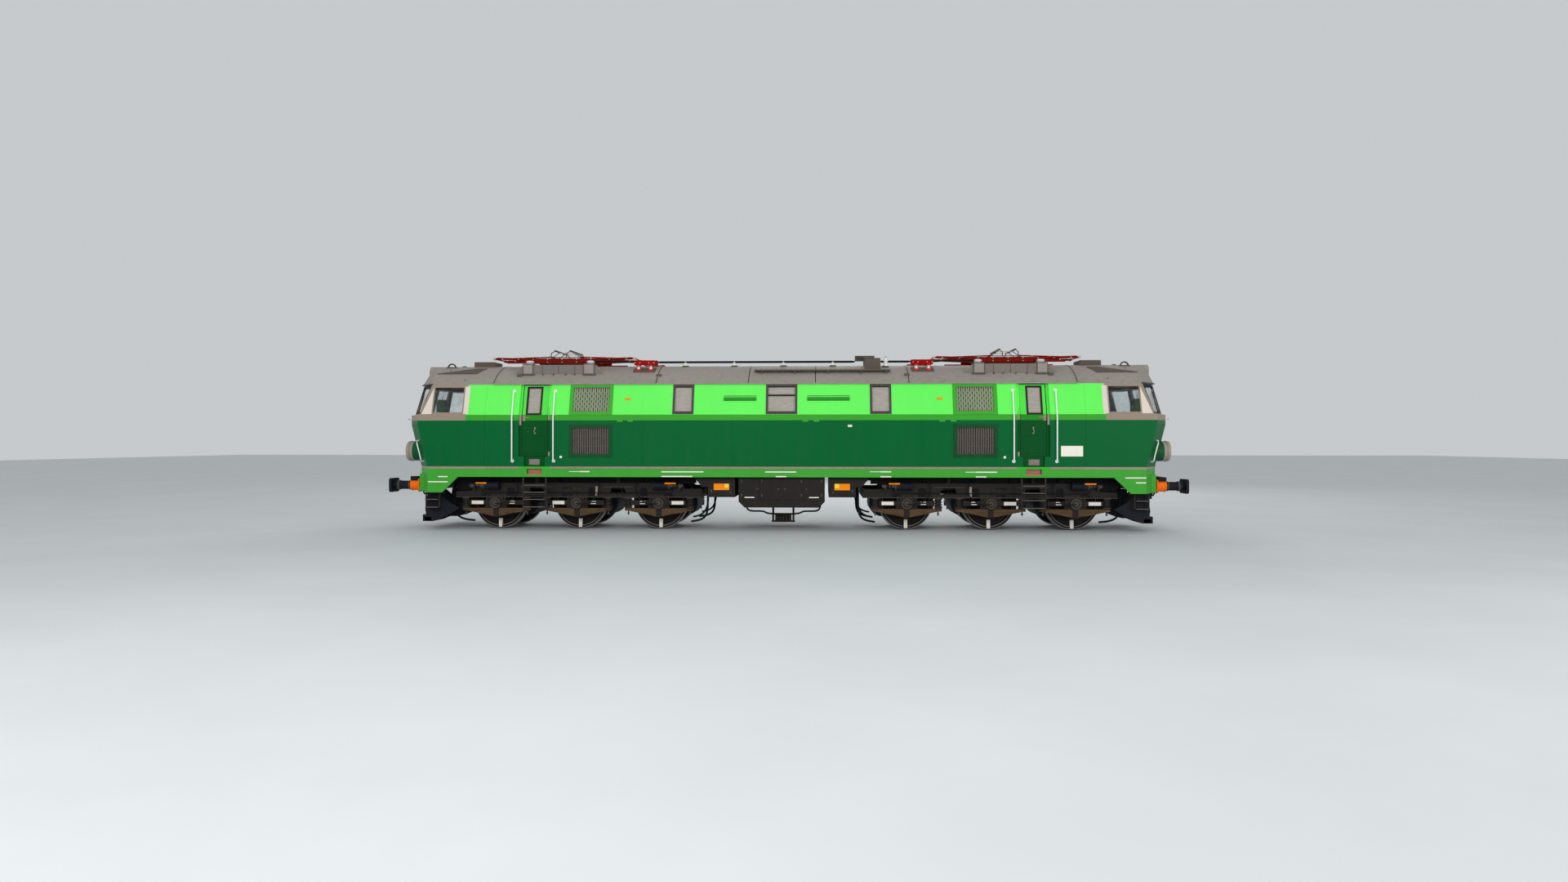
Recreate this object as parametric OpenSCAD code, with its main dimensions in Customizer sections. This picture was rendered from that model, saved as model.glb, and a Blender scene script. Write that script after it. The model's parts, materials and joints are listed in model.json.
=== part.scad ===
// Six-axle (Co'Co') electric locomotive with a cab at each end.
// Millimetres. X runs along the locomotive, Y across it, Z up.
// Origin: middle of the locomotive, level with the bottom of the wheel flanges.
// Every height named below is above the rail top, and on_rail() lifts it by one flange.

/* [Overall] */
// Length over the two noses at the waist
body_l = 18280; // [16800:20:22000]
// Width over the side walls
body_w = 3000; // [2900:20:3600]
// Height of the waist, where the side walls start to lean in
waist_z = 2750; // [2700:10:2850]
// Height of the eaves
eave_z = 3480; // [3400:10:3700]
// Height of the roof's crown
crown_z = 4005; // [3900:5:4300]
// Distance from the middle to each buffer face
buffer_face_x = 9620; // [9620:10:11500]

/* [Running gear] */
// Wheel diameter on the tread
wheel_d = 1250; // [1040:10:1260]
// Distance between neighbouring axles in a bogie
axle_pitch = 1990; // [1990:10:2100]
// Distance from the nose to the bogie's pivot
bogie_setback = 4170; // [4120:10:4300]
// Track gauge between the rails' inner faces
gauge = 1435; // [1435:1:1676]
// Height of a wheel flange
flange_h = 28; // [24:1:36]
// Width of a wheel's tyre
tyre_w = 140; // [120:5:145]
// Axle journal diameter
journal_d = 160; // [120:5:180]
// Depth of the bogie's side frame
side_frame_h = 350; // [280:10:360]

/* [Body shell] */
// Thickness of walls, doors and cab panels
wall_t = 60; // [40:5:70]
// Thickness of the roof sheets
roof_t = 40; // [30:5:60]
// How far the eaves stand in from the waist
lean = 200; // [150:10:260]
// Height of the skirt's lower edge
skirt_z = 1267; // [1260:1:1290]
// Height of the sill line, the skirt's upper edge
sill_z = 1515; // [1490:5:1560]
// Floor height inside
floor_z = 1760; // [1700:10:1800]
// Distance from the nose to the back wall of the cab
cab_l = 2040; // [1900:10:2200]
// How far the nose leans out from the sill to the waist
nose_rake = 250; // [150:10:300]
// Half the width of the nose's flat front
nose_flat = 900; // [700:10:1000]
// Length of the nose's corner facets along the locomotive
nose_facet = 400; // [300:10:500]
// Lower edge of the aprons under the noses
apron_z = 894; // [880:2:1000]

/* [Doors and windows] */
// Distance from the nose to the middle of an entrance door
door_setback = 3239; // [3200:10:3300]
// Width of a door leaf
door_w = 600; // [540:10:610]
// Width of the recess around a door
recess_w = 752; // [740:2:800]
// Depth of the recess around a door
recess_d = 50; // [30:5:60]
// Gap all round a door leaf
door_gap = 6; // [5:1:10]
// Width of the two machine-room windows at the sides
window_w = 480; // [400:10:600]
// Width of the machine-room window in the middle
centre_window_w = 720; // [500:10:900]
// Distance from the middle to the side windows
window_pitch = 2340; // [2000:10:2600]
// Width of a ventilation grille
grille_w = 980; // [700:10:1050]
// Distance from the nose to the middle of a grille
grille_setback = 4590; // [4550:10:4700]

/* [Roof equipment] */
// Distance from the nose to the middle of a pantograph
panto_setback = 3674; // [3600:10:3700]
// Length of each pantograph arm between its pivots
arm_l = 1400; // [1200:10:1450]
// Distance of a pantograph pivot from the pantograph's middle
pivot_half = 370; // [300:10:400]
// Slope of the folded lower arms, in degrees
fold_angle = 2; // [2:0.5:6]
// Height of the roof insulators under a pantograph
insulator_h = 80; // [70:5:120]

/* [Hidden] */
$fn = 48;

// Flat joints between fixed pieces meet face to face; moving ones keep these clearances
fit_gap = 0.3;
run_gap = 0.05;
seam = 6;

half_w = body_w / 2;
nose_x = body_l / 2;
side_x = nose_x - nose_facet;
cab_x = nose_x - cab_l;
bogie_x = nose_x - bogie_setback;
door_x = nose_x - door_setback;
grille_x = nose_x - grille_setback;
panto_x = nose_x - panto_setback;
wheel_r = wheel_d / 2;
axle_z = wheel_r;
wheel_y = gauge / 2 - 37;

// Paint and material colours
light_green = [0.42, 0.98, 0.38];
mid_green = [0.25, 0.65, 0.20];
dark_green = [0.00, 0.39, 0.19];
roof_grey = [0.56, 0.53, 0.50];
pod_grey = [0.47, 0.44, 0.42];
steel_dark = [0.16, 0.14, 0.13];
navy_black = [0.06, 0.08, 0.12];
beam_brown = [0.36, 0.27, 0.20];
safety_orange = [1.00, 0.45, 0.00];
signal_red = [0.60, 0.00, 0.00];
arm_red = [0.50, 0.06, 0.00];
blind_grey = [0.66, 0.63, 0.59];
slat_grey = [0.38, 0.33, 0.31];
rail_white = [0.98, 0.98, 0.98];
glass_blue = [0.55, 0.65, 0.70, 0.4];
desk_green = [0.16, 0.55, 0.24];
step_pink = [0.72, 0.44, 0.39];

// ---------- helpers ----------

// Lifts everything from heights above the rail to the origin at the flanges' foot
module on_rail() translate([0, 0, flange_h]) children();

// Extrudes an outline drawn in (Y, Z) from x0 to x1
module along_x(x0, x1) translate([x0, 0, 0]) rotate([90, 0, 90]) linear_extrude(x1 - x0) children();

// Extrudes an outline drawn in (X, Z) from y0 to y1
module along_y(y0, y1) translate([0, y1, 0]) rotate([90, 0, 0]) linear_extrude(y1 - y0) children();

module both_ends() {
    children();
    mirror([1, 0, 0]) children();
}

module both_sides() {
    children();
    mirror([0, 1, 0]) children();
}

module four_corners() both_ends() both_sides() children();

// A box from its lowest corner to its highest corner
module block(low, high) translate(low) cube(high - low);

module rod_x(x0, x1, r) translate([x0, 0, 0]) rotate([0, 90, 0]) cylinder(h = x1 - x0, r = r);
module rod_y(y0, y1, r) translate([0, y0, 0]) rotate([-90, 0, 0]) cylinder(h = y1 - y0, r = r);

// A round bar between two points
module bar(p, q, r) {
    d = q - p;
    len = norm(d);
    translate(p) rotate([0, acos(d[2] / len), atan2(d[1], d[0])]) cylinder(h = len, r = r, $fn = 24);
}

function unit(v) = v / norm(v);

// Catmull-Rom curve through the points, with steps pieces between each pair
function smooth(p, steps) = let (n = len(p)) concat([for (i = [0:n - 2], k = [0:steps - 1])
    let (a = i > 0 ? p[i - 1] : 2 * p[0] - p[1], b = p[i], c = p[i + 1],
        d = i < n - 2 ? p[i + 2] : 2 * p[n - 1] - p[n - 2], t = k / steps)
    0.5 * (2 * b + t * (c - a) + t * t * (2 * a - 5 * b + 4 * c - d) + t * t * t * (3 * b - a - 3 * c + d))],
    [p[n - 1]]);

// A tube of radius r swept along the points; ref is a direction square to most of the route
module tube(p, r, ref, sides = 12) {
    n = len(p);
    d = [for (i = [0:n - 2]) unit(p[i + 1] - p[i])];
    tangent = [for (i = [0:n - 1]) i == 0 ? d[0] : i == n - 1 ? d[n - 2] : unit(d[i - 1] + d[i])];
    rings = [for (i = [0:n - 1])
        let (v = unit(cross(tangent[i], ref)), u = cross(v, tangent[i]),
            mitre = 1 / (tangent[i] * d[min(i, n - 2)]))
        for (k = [0:sides - 1]) p[i] + r * (cos(360 * k / sides) * u + sin(360 * k / sides) * v * mitre)];
    sleeve = [for (i = [0:n - 2], k = [0:sides - 1]) let (k2 = (k + 1) % sides)
        [i * sides + k, (i + 1) * sides + k, (i + 1) * sides + k2, i * sides + k2]];
    polyhedron(rings, concat(sleeve, [[for (k = [0:sides - 1]) k]],
        [[for (k = [sides - 1:-1:0]) (n - 1) * sides + k]]));
}

// ---------- body outline ----------

// An eight-sided plan is given as [front x, half width of the front, x where the side ends, half width]
module plan(v) polygon([[-v[0], -v[1]], [-v[2], -v[3]], [v[2], -v[3]], [v[0], -v[1]],
    [v[0], v[1]], [v[2], v[3]], [-v[2], v[3]], [-v[0], v[1]]]);

// The same plan with every edge moved in by t
function inset(v, t) =
    let (dx = v[0] - v[2], dy = v[3] - v[1], n = norm([dx, dy]), nx = dy / n, ny = dx / n)
    [v[0] - t, v[1] - t * (1 - nx) / ny, v[2] - t * (1 - ny) / nx, v[3] - t];

// Heights and plans of the sections that the nose is lofted through
slope_top_z = waist_z - 230;
windscreen_foot = 80;
windscreen_rake = 195;
eave_facet = 420;
sill_plan = [nose_x - nose_rake, nose_flat, side_x - nose_rake, half_w];
waist_plan = [nose_x, nose_flat, side_x, half_w];
screen_foot_plan = [nose_x - windscreen_foot, nose_flat - 20, side_x - windscreen_foot, half_w];
eave_plan = [nose_x - windscreen_foot - windscreen_rake, nose_flat - 100,
    nose_x - windscreen_foot - windscreen_rake - eave_facet, half_w - lean];
roof_plan = [nose_x - 240, nose_flat - 100, nose_x - 240 - eave_facet, half_w - lean + 30];

// Outer face of the side wall at height z
function wall_y(z) = half_w - lean * max(0, z - waist_z) / (eave_z - waist_z);

// Upright or leaning plate in the side wall, between depths t0 and t1 behind its face
module wall_section(z0, z1, t0, t1) {
    zs = (z0 < waist_z && z1 > waist_z) ? [z0, waist_z, z1] : [z0, z1];
    last = len(zs) - 1;
    polygon(concat([for (z = zs) [wall_y(z) - t0, z]],
        [for (i = [last:-1:0]) [wall_y(zs[i]) - t1, zs[i]]]));
}

// Solid nose, inset by t, from the sill to the eaves; its waist ledge is ledge_t thick
module nose_solid(t, ledge_t) {
    slice = 0.5;
    hull() {
        translate([0, 0, sill_z]) linear_extrude(slice) plan(inset(sill_plan, t));
        translate([0, 0, slope_top_z - slice]) linear_extrude(slice) plan(inset(waist_plan, t));
    }
    translate([0, 0, slope_top_z - slice]) linear_extrude(waist_z - ledge_t - slope_top_z + slice)
        plan(inset(waist_plan, t));
    upper_nose_solid(t);
    if (ledge_t > 0)
        translate([0, 0, waist_z - ledge_t - slice]) linear_extrude(ledge_t + 2 * slice)
            plan(inset(screen_foot_plan, t));
}

module upper_nose_solid(t) {
    slice = 0.5;
    hull() {
        translate([0, 0, waist_z]) linear_extrude(slice) plan(inset(screen_foot_plan, t));
        translate([0, 0, eave_z - slice]) linear_extrude(slice) plan(inset(eave_plan, t));
    }
}

// Opens a cavity of inset t through its floor and its top
module nose_mouths(t) {
    reach = 20;
    translate([0, 0, sill_z - reach]) linear_extrude(reach + 1) plan(inset(sill_plan, t));
    translate([0, 0, eave_z - 1]) linear_extrude(reach) plan(inset(eave_plan, t));
}

// ---------- windows of the cab ----------
glass_low_z = waist_z + 40;
glass_high_z = eave_z - 50;
centre_post = 90;
post_w = 110;
cab_window_front = nose_x - 750;
cab_window_rear = nose_x - 1500;
glass_t = 12;
glass_depth = 24;

// Volume that a corner pane takes out of the nose's upper facet
module corner_window() {
    dx = screen_foot_plan[0] - screen_foot_plan[2];
    dy = screen_foot_plan[3] - screen_foot_plan[1];
    mid_x = (screen_foot_plan[0] + screen_foot_plan[2] + eave_plan[0] + eave_plan[2]) / 4;
    mid_y = (screen_foot_plan[1] + screen_foot_plan[3] + eave_plan[1] + eave_plan[3]) / 4;
    facet = norm([dx, dy]) - 2 * post_w;
    translate([mid_x, mid_y, 0]) rotate([0, 0, atan2(dx, dy)])
        block([-250, -facet / 2, glass_low_z], [250, facet / 2, glass_high_z]);
}

module cab_window_cuts() {
    both_ends() {
        both_sides() {
            block([eave_plan[0] - 140, centre_post / 2, glass_low_z],
                [nose_x, eave_plan[1] - 40, glass_high_z]);
            corner_window();
            block([cab_window_rear, half_w - lean - 100, glass_low_z],
                [cab_window_front, half_w + 10, glass_high_z]);
        }
    }
}

lamp_r = 240;
lamp_y = nose_flat - 60;
lamp_z = 1880;

module cab_shells() color(dark_green) on_rail() difference() {
    nose_solid(0, 0);
    nose_solid(wall_t, wall_t);
    nose_mouths(wall_t);
    block([-cab_x - seam / 2, -half_w - 10, sill_z - 10], [cab_x + seam / 2, half_w + 10, crown_z]);
    cab_window_cuts();
    four_corners() translate([0, lamp_y, lamp_z]) rod_x(nose_x - 500, nose_x + 100, lamp_r + fit_gap);
}

// Panes and windscreens fill their openings from depth glass_depth
module cab_glazing() color(glass_blue) on_rail() intersection() {
    difference() {
        upper_nose_solid(glass_depth);
        upper_nose_solid(glass_depth + glass_t);
    }
    cab_window_cuts();
}

// ---------- doors ----------
door_low_z = floor_z;
door_high_z = eave_z - 20;
door_axis_x = door_x - door_w / 2 - 20;
door_axis_y = wall_y(door_high_z) - recess_d - wall_t - 10;
jamb_bevel = 24;
hinge_r = 14;
hinge_pin_r = 8;
hinge_h = 90;
hinge_zs = [door_low_z + 120, waist_z - 250];
niche_w = 500;
niche_z = sill_z + 5;

// Plan of the doorway in the recess panel: its free edge opens out inwards
module doorway_plan() polygon([
    [door_x - door_w / 2 - door_gap, half_w + 5],
    [door_x + door_w / 2 + door_gap, half_w + 5],
    [door_x + door_w / 2 + door_gap, half_w - recess_d],
    [door_x + door_w / 2 + door_gap + jamb_bevel, half_w - recess_d - wall_t],
    [door_x + door_w / 2 + door_gap + jamb_bevel, half_w - recess_d - wall_t - 20],
    [door_x - door_w / 2 - door_gap, half_w - recess_d - wall_t - 20]]);

module doorway_cut() {
    translate([0, 0, door_low_z]) linear_extrude(waist_z - door_low_z) doorway_plan();
    hull() {
        translate([0, 0, waist_z - 0.5]) linear_extrude(0.5) doorway_plan();
        translate([0, -lean, eave_z]) linear_extrude(0.5) doorway_plan();
    }
}

// The panel that closes the recess behind the wall's face, with a foot niche below
module recess_panel(x0, x1) {
    along_x(x0, x1) wall_section(niche_z, eave_z, recess_d, recess_d + wall_t);
}

module recess_cut(x0, x1, z0) along_x(x0, x1) wall_section(z0, eave_z + 5, -20, recess_d);

// Fixed lugs that carry the hinge pins of one door
module door_lugs() for (z = hinge_zs) {
    translate([door_axis_x, door_axis_y, z - 20]) cylinder(h = 19.5, r = hinge_r);
    translate([door_axis_x, door_axis_y, z - 20]) cylinder(h = hinge_h + 10, r = hinge_pin_r);
    block([door_axis_x - hinge_r - 20, door_axis_y - 8, z - 20],
        [door_axis_x - 6, half_w - recess_d - wall_t + 5, z - 0.5]);
}

module side_wall() {
    difference() {
        union() {
            difference() {
                along_x(-cab_x, cab_x) wall_section(sill_z, eave_z, 0, wall_t);
                both_ends() {
                    recess_cut(door_x - recess_w / 2, door_x + recess_w / 2, floor_z);
                    recess_cut(door_x - niche_w / 2, door_x + niche_w / 2, niche_z);
                }
            }
            both_ends() {
                recess_panel(door_x - recess_w / 2 - 5, door_x + recess_w / 2 + 5);
                door_lugs();
            }
        }
        both_ends() doorway_cut();
        both_ends() block([window_pitch - window_w / 2, half_w - lean - 100, waist_z + 15],
            [window_pitch + window_w / 2, half_w + 10, eave_z - 15]);
        block([-centre_window_w / 2, half_w - lean - 100, waist_z + 15],
            [centre_window_w / 2, half_w + 10, eave_z - 15]);
        both_ends() for (z = grille_zs) block([grille_x - grille_w / 2, half_w - lean - 100, z[0]],
            [grille_x + grille_w / 2, half_w + 10, z[1]]);
    }
}

module side_walls() color(light_green) on_rail() both_sides() side_wall();

// One door leaf at the +X end on the +Y side: bent like the wall, hinged on its inner face
module door_leaf() {
    x0 = door_x - door_w / 2;
    x1 = door_x + door_w / 2;
    glass = [x0 + 160, x1 - 90];
    difference() {
        union() {
            along_x(x0, x1) wall_section(door_low_z + door_gap, door_high_z, recess_d, recess_d + wall_t);
            for (z = hinge_zs) {
                translate([door_axis_x, door_axis_y, z]) cylinder(h = hinge_h, r = hinge_r + 4);
                block([door_axis_x, door_axis_y - 8, z],
                    [x0 + 60, door_axis_y + 8, z + hinge_h]);
                block([x0 + 20, door_axis_y - 8, z],
                    [x0 + 60, half_w - recess_d - wall_t + 5, z + hinge_h]);
            }
        }
        for (z = hinge_zs) translate([door_axis_x, door_axis_y, z - 5])
            cylinder(h = hinge_h + 10, r = hinge_pin_r + run_gap);
        block([glass[0], half_w - lean - 200, waist_z + 20], [glass[1], half_w, door_high_z - 30]);
    }
    glass_in = recess_d + glass_depth;
    along_x(glass[0], glass[1]) wall_section(waist_z + 20, door_high_z - 30, glass_in, glass_in + glass_t);
}

module cab_door_2_left() color(dark_green) on_rail() door_leaf();
module cab_door_2_right() color(dark_green) on_rail() mirror([0, 1, 0]) door_leaf();
module cab_door_1_left() color(dark_green) on_rail() mirror([1, 0, 0]) door_leaf();
module cab_door_1_right() color(dark_green) on_rail() mirror([1, 0, 0]) mirror([0, 1, 0]) door_leaf();

// ---------- side windows and grilles ----------
module side_windows() color(blind_grey) on_rail() both_sides() {
    both_ends() along_x(window_pitch - window_w / 2, window_pitch + window_w / 2)
        wall_section(waist_z + 15, eave_z - 15, glass_depth, glass_depth + glass_t);
    along_x(-centre_window_w / 2, centre_window_w / 2)
        wall_section(waist_z + 15, eave_z - 15, glass_depth, glass_depth + glass_t);
}

grille_zs = [[floor_z + 2, waist_z - 260], [waist_z + 15, eave_z - 10]];
grille_rim = 60;
slat_w = 34;
slat_count = 16;

module grille(z) {
    x0 = grille_x - grille_w / 2;
    x1 = grille_x + grille_w / 2;
    pitch = (grille_w - 2 * grille_rim) / slat_count;
    for (zz = [[z[0], z[0] + grille_rim], [z[1] - grille_rim, z[1]]])
        along_x(x0, x1) wall_section(zz[0], zz[1], 0, wall_t);
    for (xx = [x0, x1 - grille_rim])
        along_x(xx, xx + grille_rim) wall_section(z[0], z[1], 0, wall_t);
    for (i = [0:slat_count - 1])
        translate([x0 + grille_rim + (i + 0.5) * pitch, 0, 0]) along_x(-slat_w / 2, slat_w / 2)
            wall_section(z[0] + 5, z[1] - 5, 15, wall_t - 5);
}

module side_grilles() color(slat_grey) on_rail() four_corners() for (z = grille_zs) grille(z);

// ---------- underframe ----------
slab_low_z = skirt_z + 63;
slab_high_z = slab_low_z + 120;
deck_t = 40;
stringer_w = 100;
pivot_r = 110;
pivot_low_z = 965;
apron_run = 750;
apron_slope = 390;
beam_l = 190;
beam_half = 1150;
pad_x = 1850;
pad_r = 80;
pad_h = 60;
pad_gap = 20;
hook_w = 90;
hook_h = 110;
hook_z = 1040;
step_hole = [360, 140];
step_hole_z = 1320;

// Ring of skirt or apron plate between two heights
module skirt_ring(z0, z1) translate([0, 0, z0]) linear_extrude(z1 - z0) difference() {
    plan(sill_plan);
    plan(inset(sill_plan, wall_t));
}

module underframe() color(mid_green) on_rail() difference() {
    apron_front = nose_x - nose_rake;
    union() {
        skirt_ring(skirt_z, sill_z);
        intersection() {
            skirt_ring(apron_z, skirt_z + 1);
            both_ends() along_y(-half_w - 1, half_w + 1) polygon([
                [apron_front - apron_run, apron_z - 1], [apron_front + 1, apron_z - 1],
                [apron_front + 1, skirt_z + 2], [apron_front - apron_run - apron_slope, skirt_z + 2]]);
        }
        translate([0, 0, slab_low_z]) linear_extrude(slab_high_z - slab_low_z)
            plan(inset(sill_plan, wall_t - 1));
        translate([0, 0, floor_z - deck_t]) linear_extrude(deck_t)
            plan(inset(sill_plan, recess_d + wall_t));
        for (y = [-1150, -450, 450, 1150])
            block([-apron_front + 600, y - stringer_w / 2, slab_high_z - 1],
                [apron_front - 600, y + stringer_w / 2, floor_z - deck_t + 1]);
        both_ends() {
            block([apron_front - wall_t - beam_l, -beam_half, apron_z + 20],
                [apron_front - wall_t + 1, beam_half, slab_low_z + 1]);
            translate([bogie_x, 0, pivot_low_z]) cylinder(h = slab_low_z + 1 - pivot_low_z, r = pivot_r);
        }
        four_corners() translate([pad_x, half_w - wall_t - pad_r - pad_gap, slab_low_z - pad_h])
            cylinder(h = pad_h + 1, r = pad_r);
    }
    both_ends() block([apron_front - 500, -hook_w / 2 - fit_gap, hook_z - hook_h / 2 - fit_gap],
        [apron_front + 10, hook_w / 2 + fit_gap, hook_z + hook_h / 2 + fit_gap]);
    four_corners() block([door_x - step_hole[0] / 2, half_w - wall_t - 20, step_hole_z],
        [door_x + step_hole[0] / 2, half_w + 1, step_hole_z + step_hole[1]]);
}

// ---------- walls inside ----------
vestibule_l = 1800;
cab_doorway = [600, 1600];

// Wall across the body at x, with a doorway in its middle
module bulkhead(x) along_x(x - wall_t / 2, x + wall_t / 2) difference() {
    w = half_w - recess_d - wall_t;
    polygon([[-w, floor_z], [w, floor_z], [w, waist_z], [w - lean, eave_z], [-w + lean, eave_z],
        [-w, waist_z]]);
    translate([-cab_doorway[0] / 2, floor_z - 1]) square([cab_doorway[0], cab_doorway[1]]);
}

module bulkheads() color(blind_grey) on_rail() both_ends() {
    bulkhead(cab_x - wall_t);
    bulkhead(cab_x - vestibule_l);
}

// ---------- roof ----------
roof_half = half_w - lean;
roof_rise = crown_z - eave_z;
roof_r = (roof_half * roof_half + roof_rise * roof_rise) / (2 * roof_rise);
roof_axis_z = crown_z - roof_r;
arch_fn = 400;
gutter = 34;
roof_end_x = nose_x - 2170;
roof_seam_x = nose_x - 6120;
pod_high_z = crown_z - 25;
pod_low_z = 3740;
pod_out = 960;
pod_in = 640;
pod_half = 1110;
pedestal_half = 120;
panto_foot_x = 750;

// Outline of the roof's arch, with its surface moved in by t
module roof_arch(t) intersection() {
    translate([0, roof_axis_z]) circle(r = roof_r - t, $fn = arch_fn);
    translate([-roof_half + t, eave_z - (t > 0 ? 1 : 0)]) square([2 * (roof_half - t), roof_rise + 10]);
}

// Height of the roof's surface at distance y from the middle
function roof_z(y) = roof_axis_z + sqrt(roof_r * roof_r - y * y);

module roof_sheet(x0, x1) {
    along_x(x0, x1) difference() {
        roof_arch(0);
        roof_arch(roof_t);
    }
    both_sides() along_x(x0, x1) translate([roof_half - 1, eave_z]) square([gutter + 1, 30]);
}

// Raised side fairing with the two insulator pedestals of a pantograph
module roof_pod() {
    along_y(pod_in, pod_out) polygon([[panto_x - pod_half, pod_low_z], [panto_x + pod_half, pod_low_z],
        [panto_x + pod_half - 240, pod_high_z], [panto_x - pod_half + 240, pod_high_z]]);
    for (s = [-1, 1]) {
        block([panto_x + s * panto_foot_x - pedestal_half, pod_in, pod_low_z],
            [panto_x + s * panto_foot_x + pedestal_half, pod_out + 30, pod_high_z + 25]);
    }
}

module roof_panels() color(roof_grey) on_rail() {
    both_ends() {
        difference() {
            union() {
                roof_sheet(roof_seam_x + seam / 2, roof_end_x - seam / 2);
                both_sides() roof_pod();
            }
            along_x(roof_seam_x, roof_end_x) roof_arch(roof_t);
        }
    }
    roof_sheet(-roof_seam_x + seam / 2, roof_seam_x - seam / 2);
}

brow_r = 165;
brow_z = crown_z - 155;
brow_out = 90;
roof_top_half = 170;
roof_top_x = nose_x - 280;

// Plan of the cab roof at the crown: its corner facets lean in, and its front narrows to the top lamp
roof_top_plan = [roof_top_x, roof_top_half,
    roof_top_x - (roof_plan[3] - roof_top_half) * eave_facet / (roof_plan[3] - roof_plan[1]), roof_plan[3]];

// Hipped front and sides that the cab roof's arch is cut to, moved in by t
module roof_hip(t) hull() {
    translate([0, 0, eave_z - (t > 0 ? 5 : 0)]) linear_extrude(1) plan(inset(roof_plan, t));
    translate([0, 0, crown_z + 5]) linear_extrude(1) plan(inset(roof_top_plan, t));
}

module cab_roofs() color(roof_grey) on_rail() both_ends() {
    difference() {
        intersection() {
            along_x(roof_end_x + seam / 2, nose_x) union() {
                roof_arch(0);
                both_sides() translate([roof_half - 1, eave_z]) square([gutter + 1, 30]);
            }
            roof_hip(0);
        }
        intersection() {
            along_x(roof_end_x - 10, nose_x) roof_arch(roof_t);
            roof_hip(roof_t);
        }
        translate([0, 0, brow_z]) rod_x(roof_plan[0] - 300, nose_x, brow_r + fit_gap);
    }
}

// ---------- wheelsets ----------
axle_r = 95;
journal_end_y = 1085;
flange_w = 34;

// Half outline of an axle with its two wheels, drawn in (radius, along the axle)
module wheelset_outline() {
    rim = wheel_r - 70;
    hub_r = 150;
    web = 26;
    outer_y = wheel_y + tyre_w - flange_w;
    inner_y = wheel_y - flange_w;
    square([axle_r, outer_y]);
    square([journal_d / 2, journal_end_y]);
    translate([0, inner_y]) square([hub_r, tyre_w + 10]);
    translate([0, (inner_y + outer_y) / 2 - web / 2]) square([rim + 1, web]);
    translate([rim, inner_y]) square([wheel_r - rim, tyre_w]);
    polygon([[wheel_r - 1, inner_y], [wheel_r + flange_h - 8, inner_y], [wheel_r + flange_h, inner_y + 10],
        [wheel_r + flange_h, inner_y + 18], [wheel_r - 1, wheel_y + 2]]);
}

module wheelset(x) color(steel_dark) on_rail() translate([x, 0, axle_z]) rotate([90, 0, 0])
    rotate_extrude($fn = 96) {
        wheelset_outline();
        mirror([0, 1]) wheelset_outline();
    }

module wheelset_1() wheelset(-bogie_x - axle_pitch);
module wheelset_2() wheelset(-bogie_x);
module wheelset_3() wheelset(-bogie_x + axle_pitch);
module wheelset_4() wheelset(bogie_x - axle_pitch);
module wheelset_5() wheelset(bogie_x);
module wheelset_6() wheelset(bogie_x + axle_pitch);

// ---------- bogies, drawn for the +X end around the pivot ----------
frame_y = 1000;
frame_t = 120;
frame_high_z = wheel_r + 485;
frame_low_z = frame_high_z - side_frame_h;
frame_outer = 980;
frame_inner = 1050;
transom_z0 = 955;
transom_half = 190;
bearer_r = 60;
box_half = 170;
box_h = 135;
box_y0 = 870;
box_y1 = 1175;
guide_gap = 20;

function axle_offsets() = [-axle_pitch, 0, axle_pitch];

module side_frame() {
    o = axle_pitch + frame_outer;
    n = axle_pitch + frame_inner;
    difference() {
        along_y(frame_y, frame_y + frame_t) polygon([[-n, frame_low_z], [o, frame_low_z],
            [o, frame_high_z - 210], [o - 420, frame_high_z - 190], [o - 640, frame_high_z],
            [-n + 760, frame_high_z], [-n + 430, frame_high_z - 140], [-n, frame_high_z - 140]]);
        for (x = [-axle_pitch / 2, axle_pitch / 2])
            along_y(frame_y - 1, frame_y + frame_t + 1) polygon([[x - 210, frame_low_z + 90],
                [x + 210, frame_low_z + 90], [x + 150, frame_high_z - 110], [x - 150, frame_high_z - 110]]);
    }
    for (x = axle_offsets(), s = [-1, 1])
        block([x + s * (box_half + guide_gap + 25) - 25, frame_y, axle_z - 90],
            [x + s * (box_half + guide_gap + 25) + 25, frame_y + frame_t, frame_low_z + 1]);
}

module bogie_frame() translate([bogie_x, 0, 0]) difference() {
    union() {
        both_sides() side_frame();
        for (x = [-axle_pitch / 2, axle_pitch / 2]) {
            block([x - transom_half, -frame_y - 1, transom_z0],
                [x + transom_half, frame_y + 1, frame_high_z]);
            both_sides() translate([x, frame_y + frame_t / 2 - 10, frame_high_z - 1])
                cylinder(h = slab_low_z - frame_high_z + 1 - fit_gap, r = bearer_r);
        }
        block([-axle_pitch / 2, -300, transom_z0], [axle_pitch / 2, 300, frame_high_z]);
        for (x = [-axle_pitch - frame_inner + 60, axle_pitch + frame_outer - 60])
            block([x - 60, -frame_y - 1, frame_low_z], [x + 60, frame_y + 1, frame_low_z + 140]);
    }
    translate([0, 0, transom_z0 - 10]) cylinder(h = 400, r = pivot_r + run_gap);
}

module bogie_frame_1() color(steel_dark) on_rail() mirror([1, 0, 0]) bogie_frame();
module bogie_frame_2() color(steel_dark) on_rail() bogie_frame();

spring_pitch = 750;
spring_r = 72;
leaf_high_z = wheel_r - 125;
leaf_low_z = leaf_high_z - 200;
leaf_end_t = 50;
leaf_half = 810;
leaf_foot_half = 60;
leaf_y0 = 985;
leaf_y1 = 1105;

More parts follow.
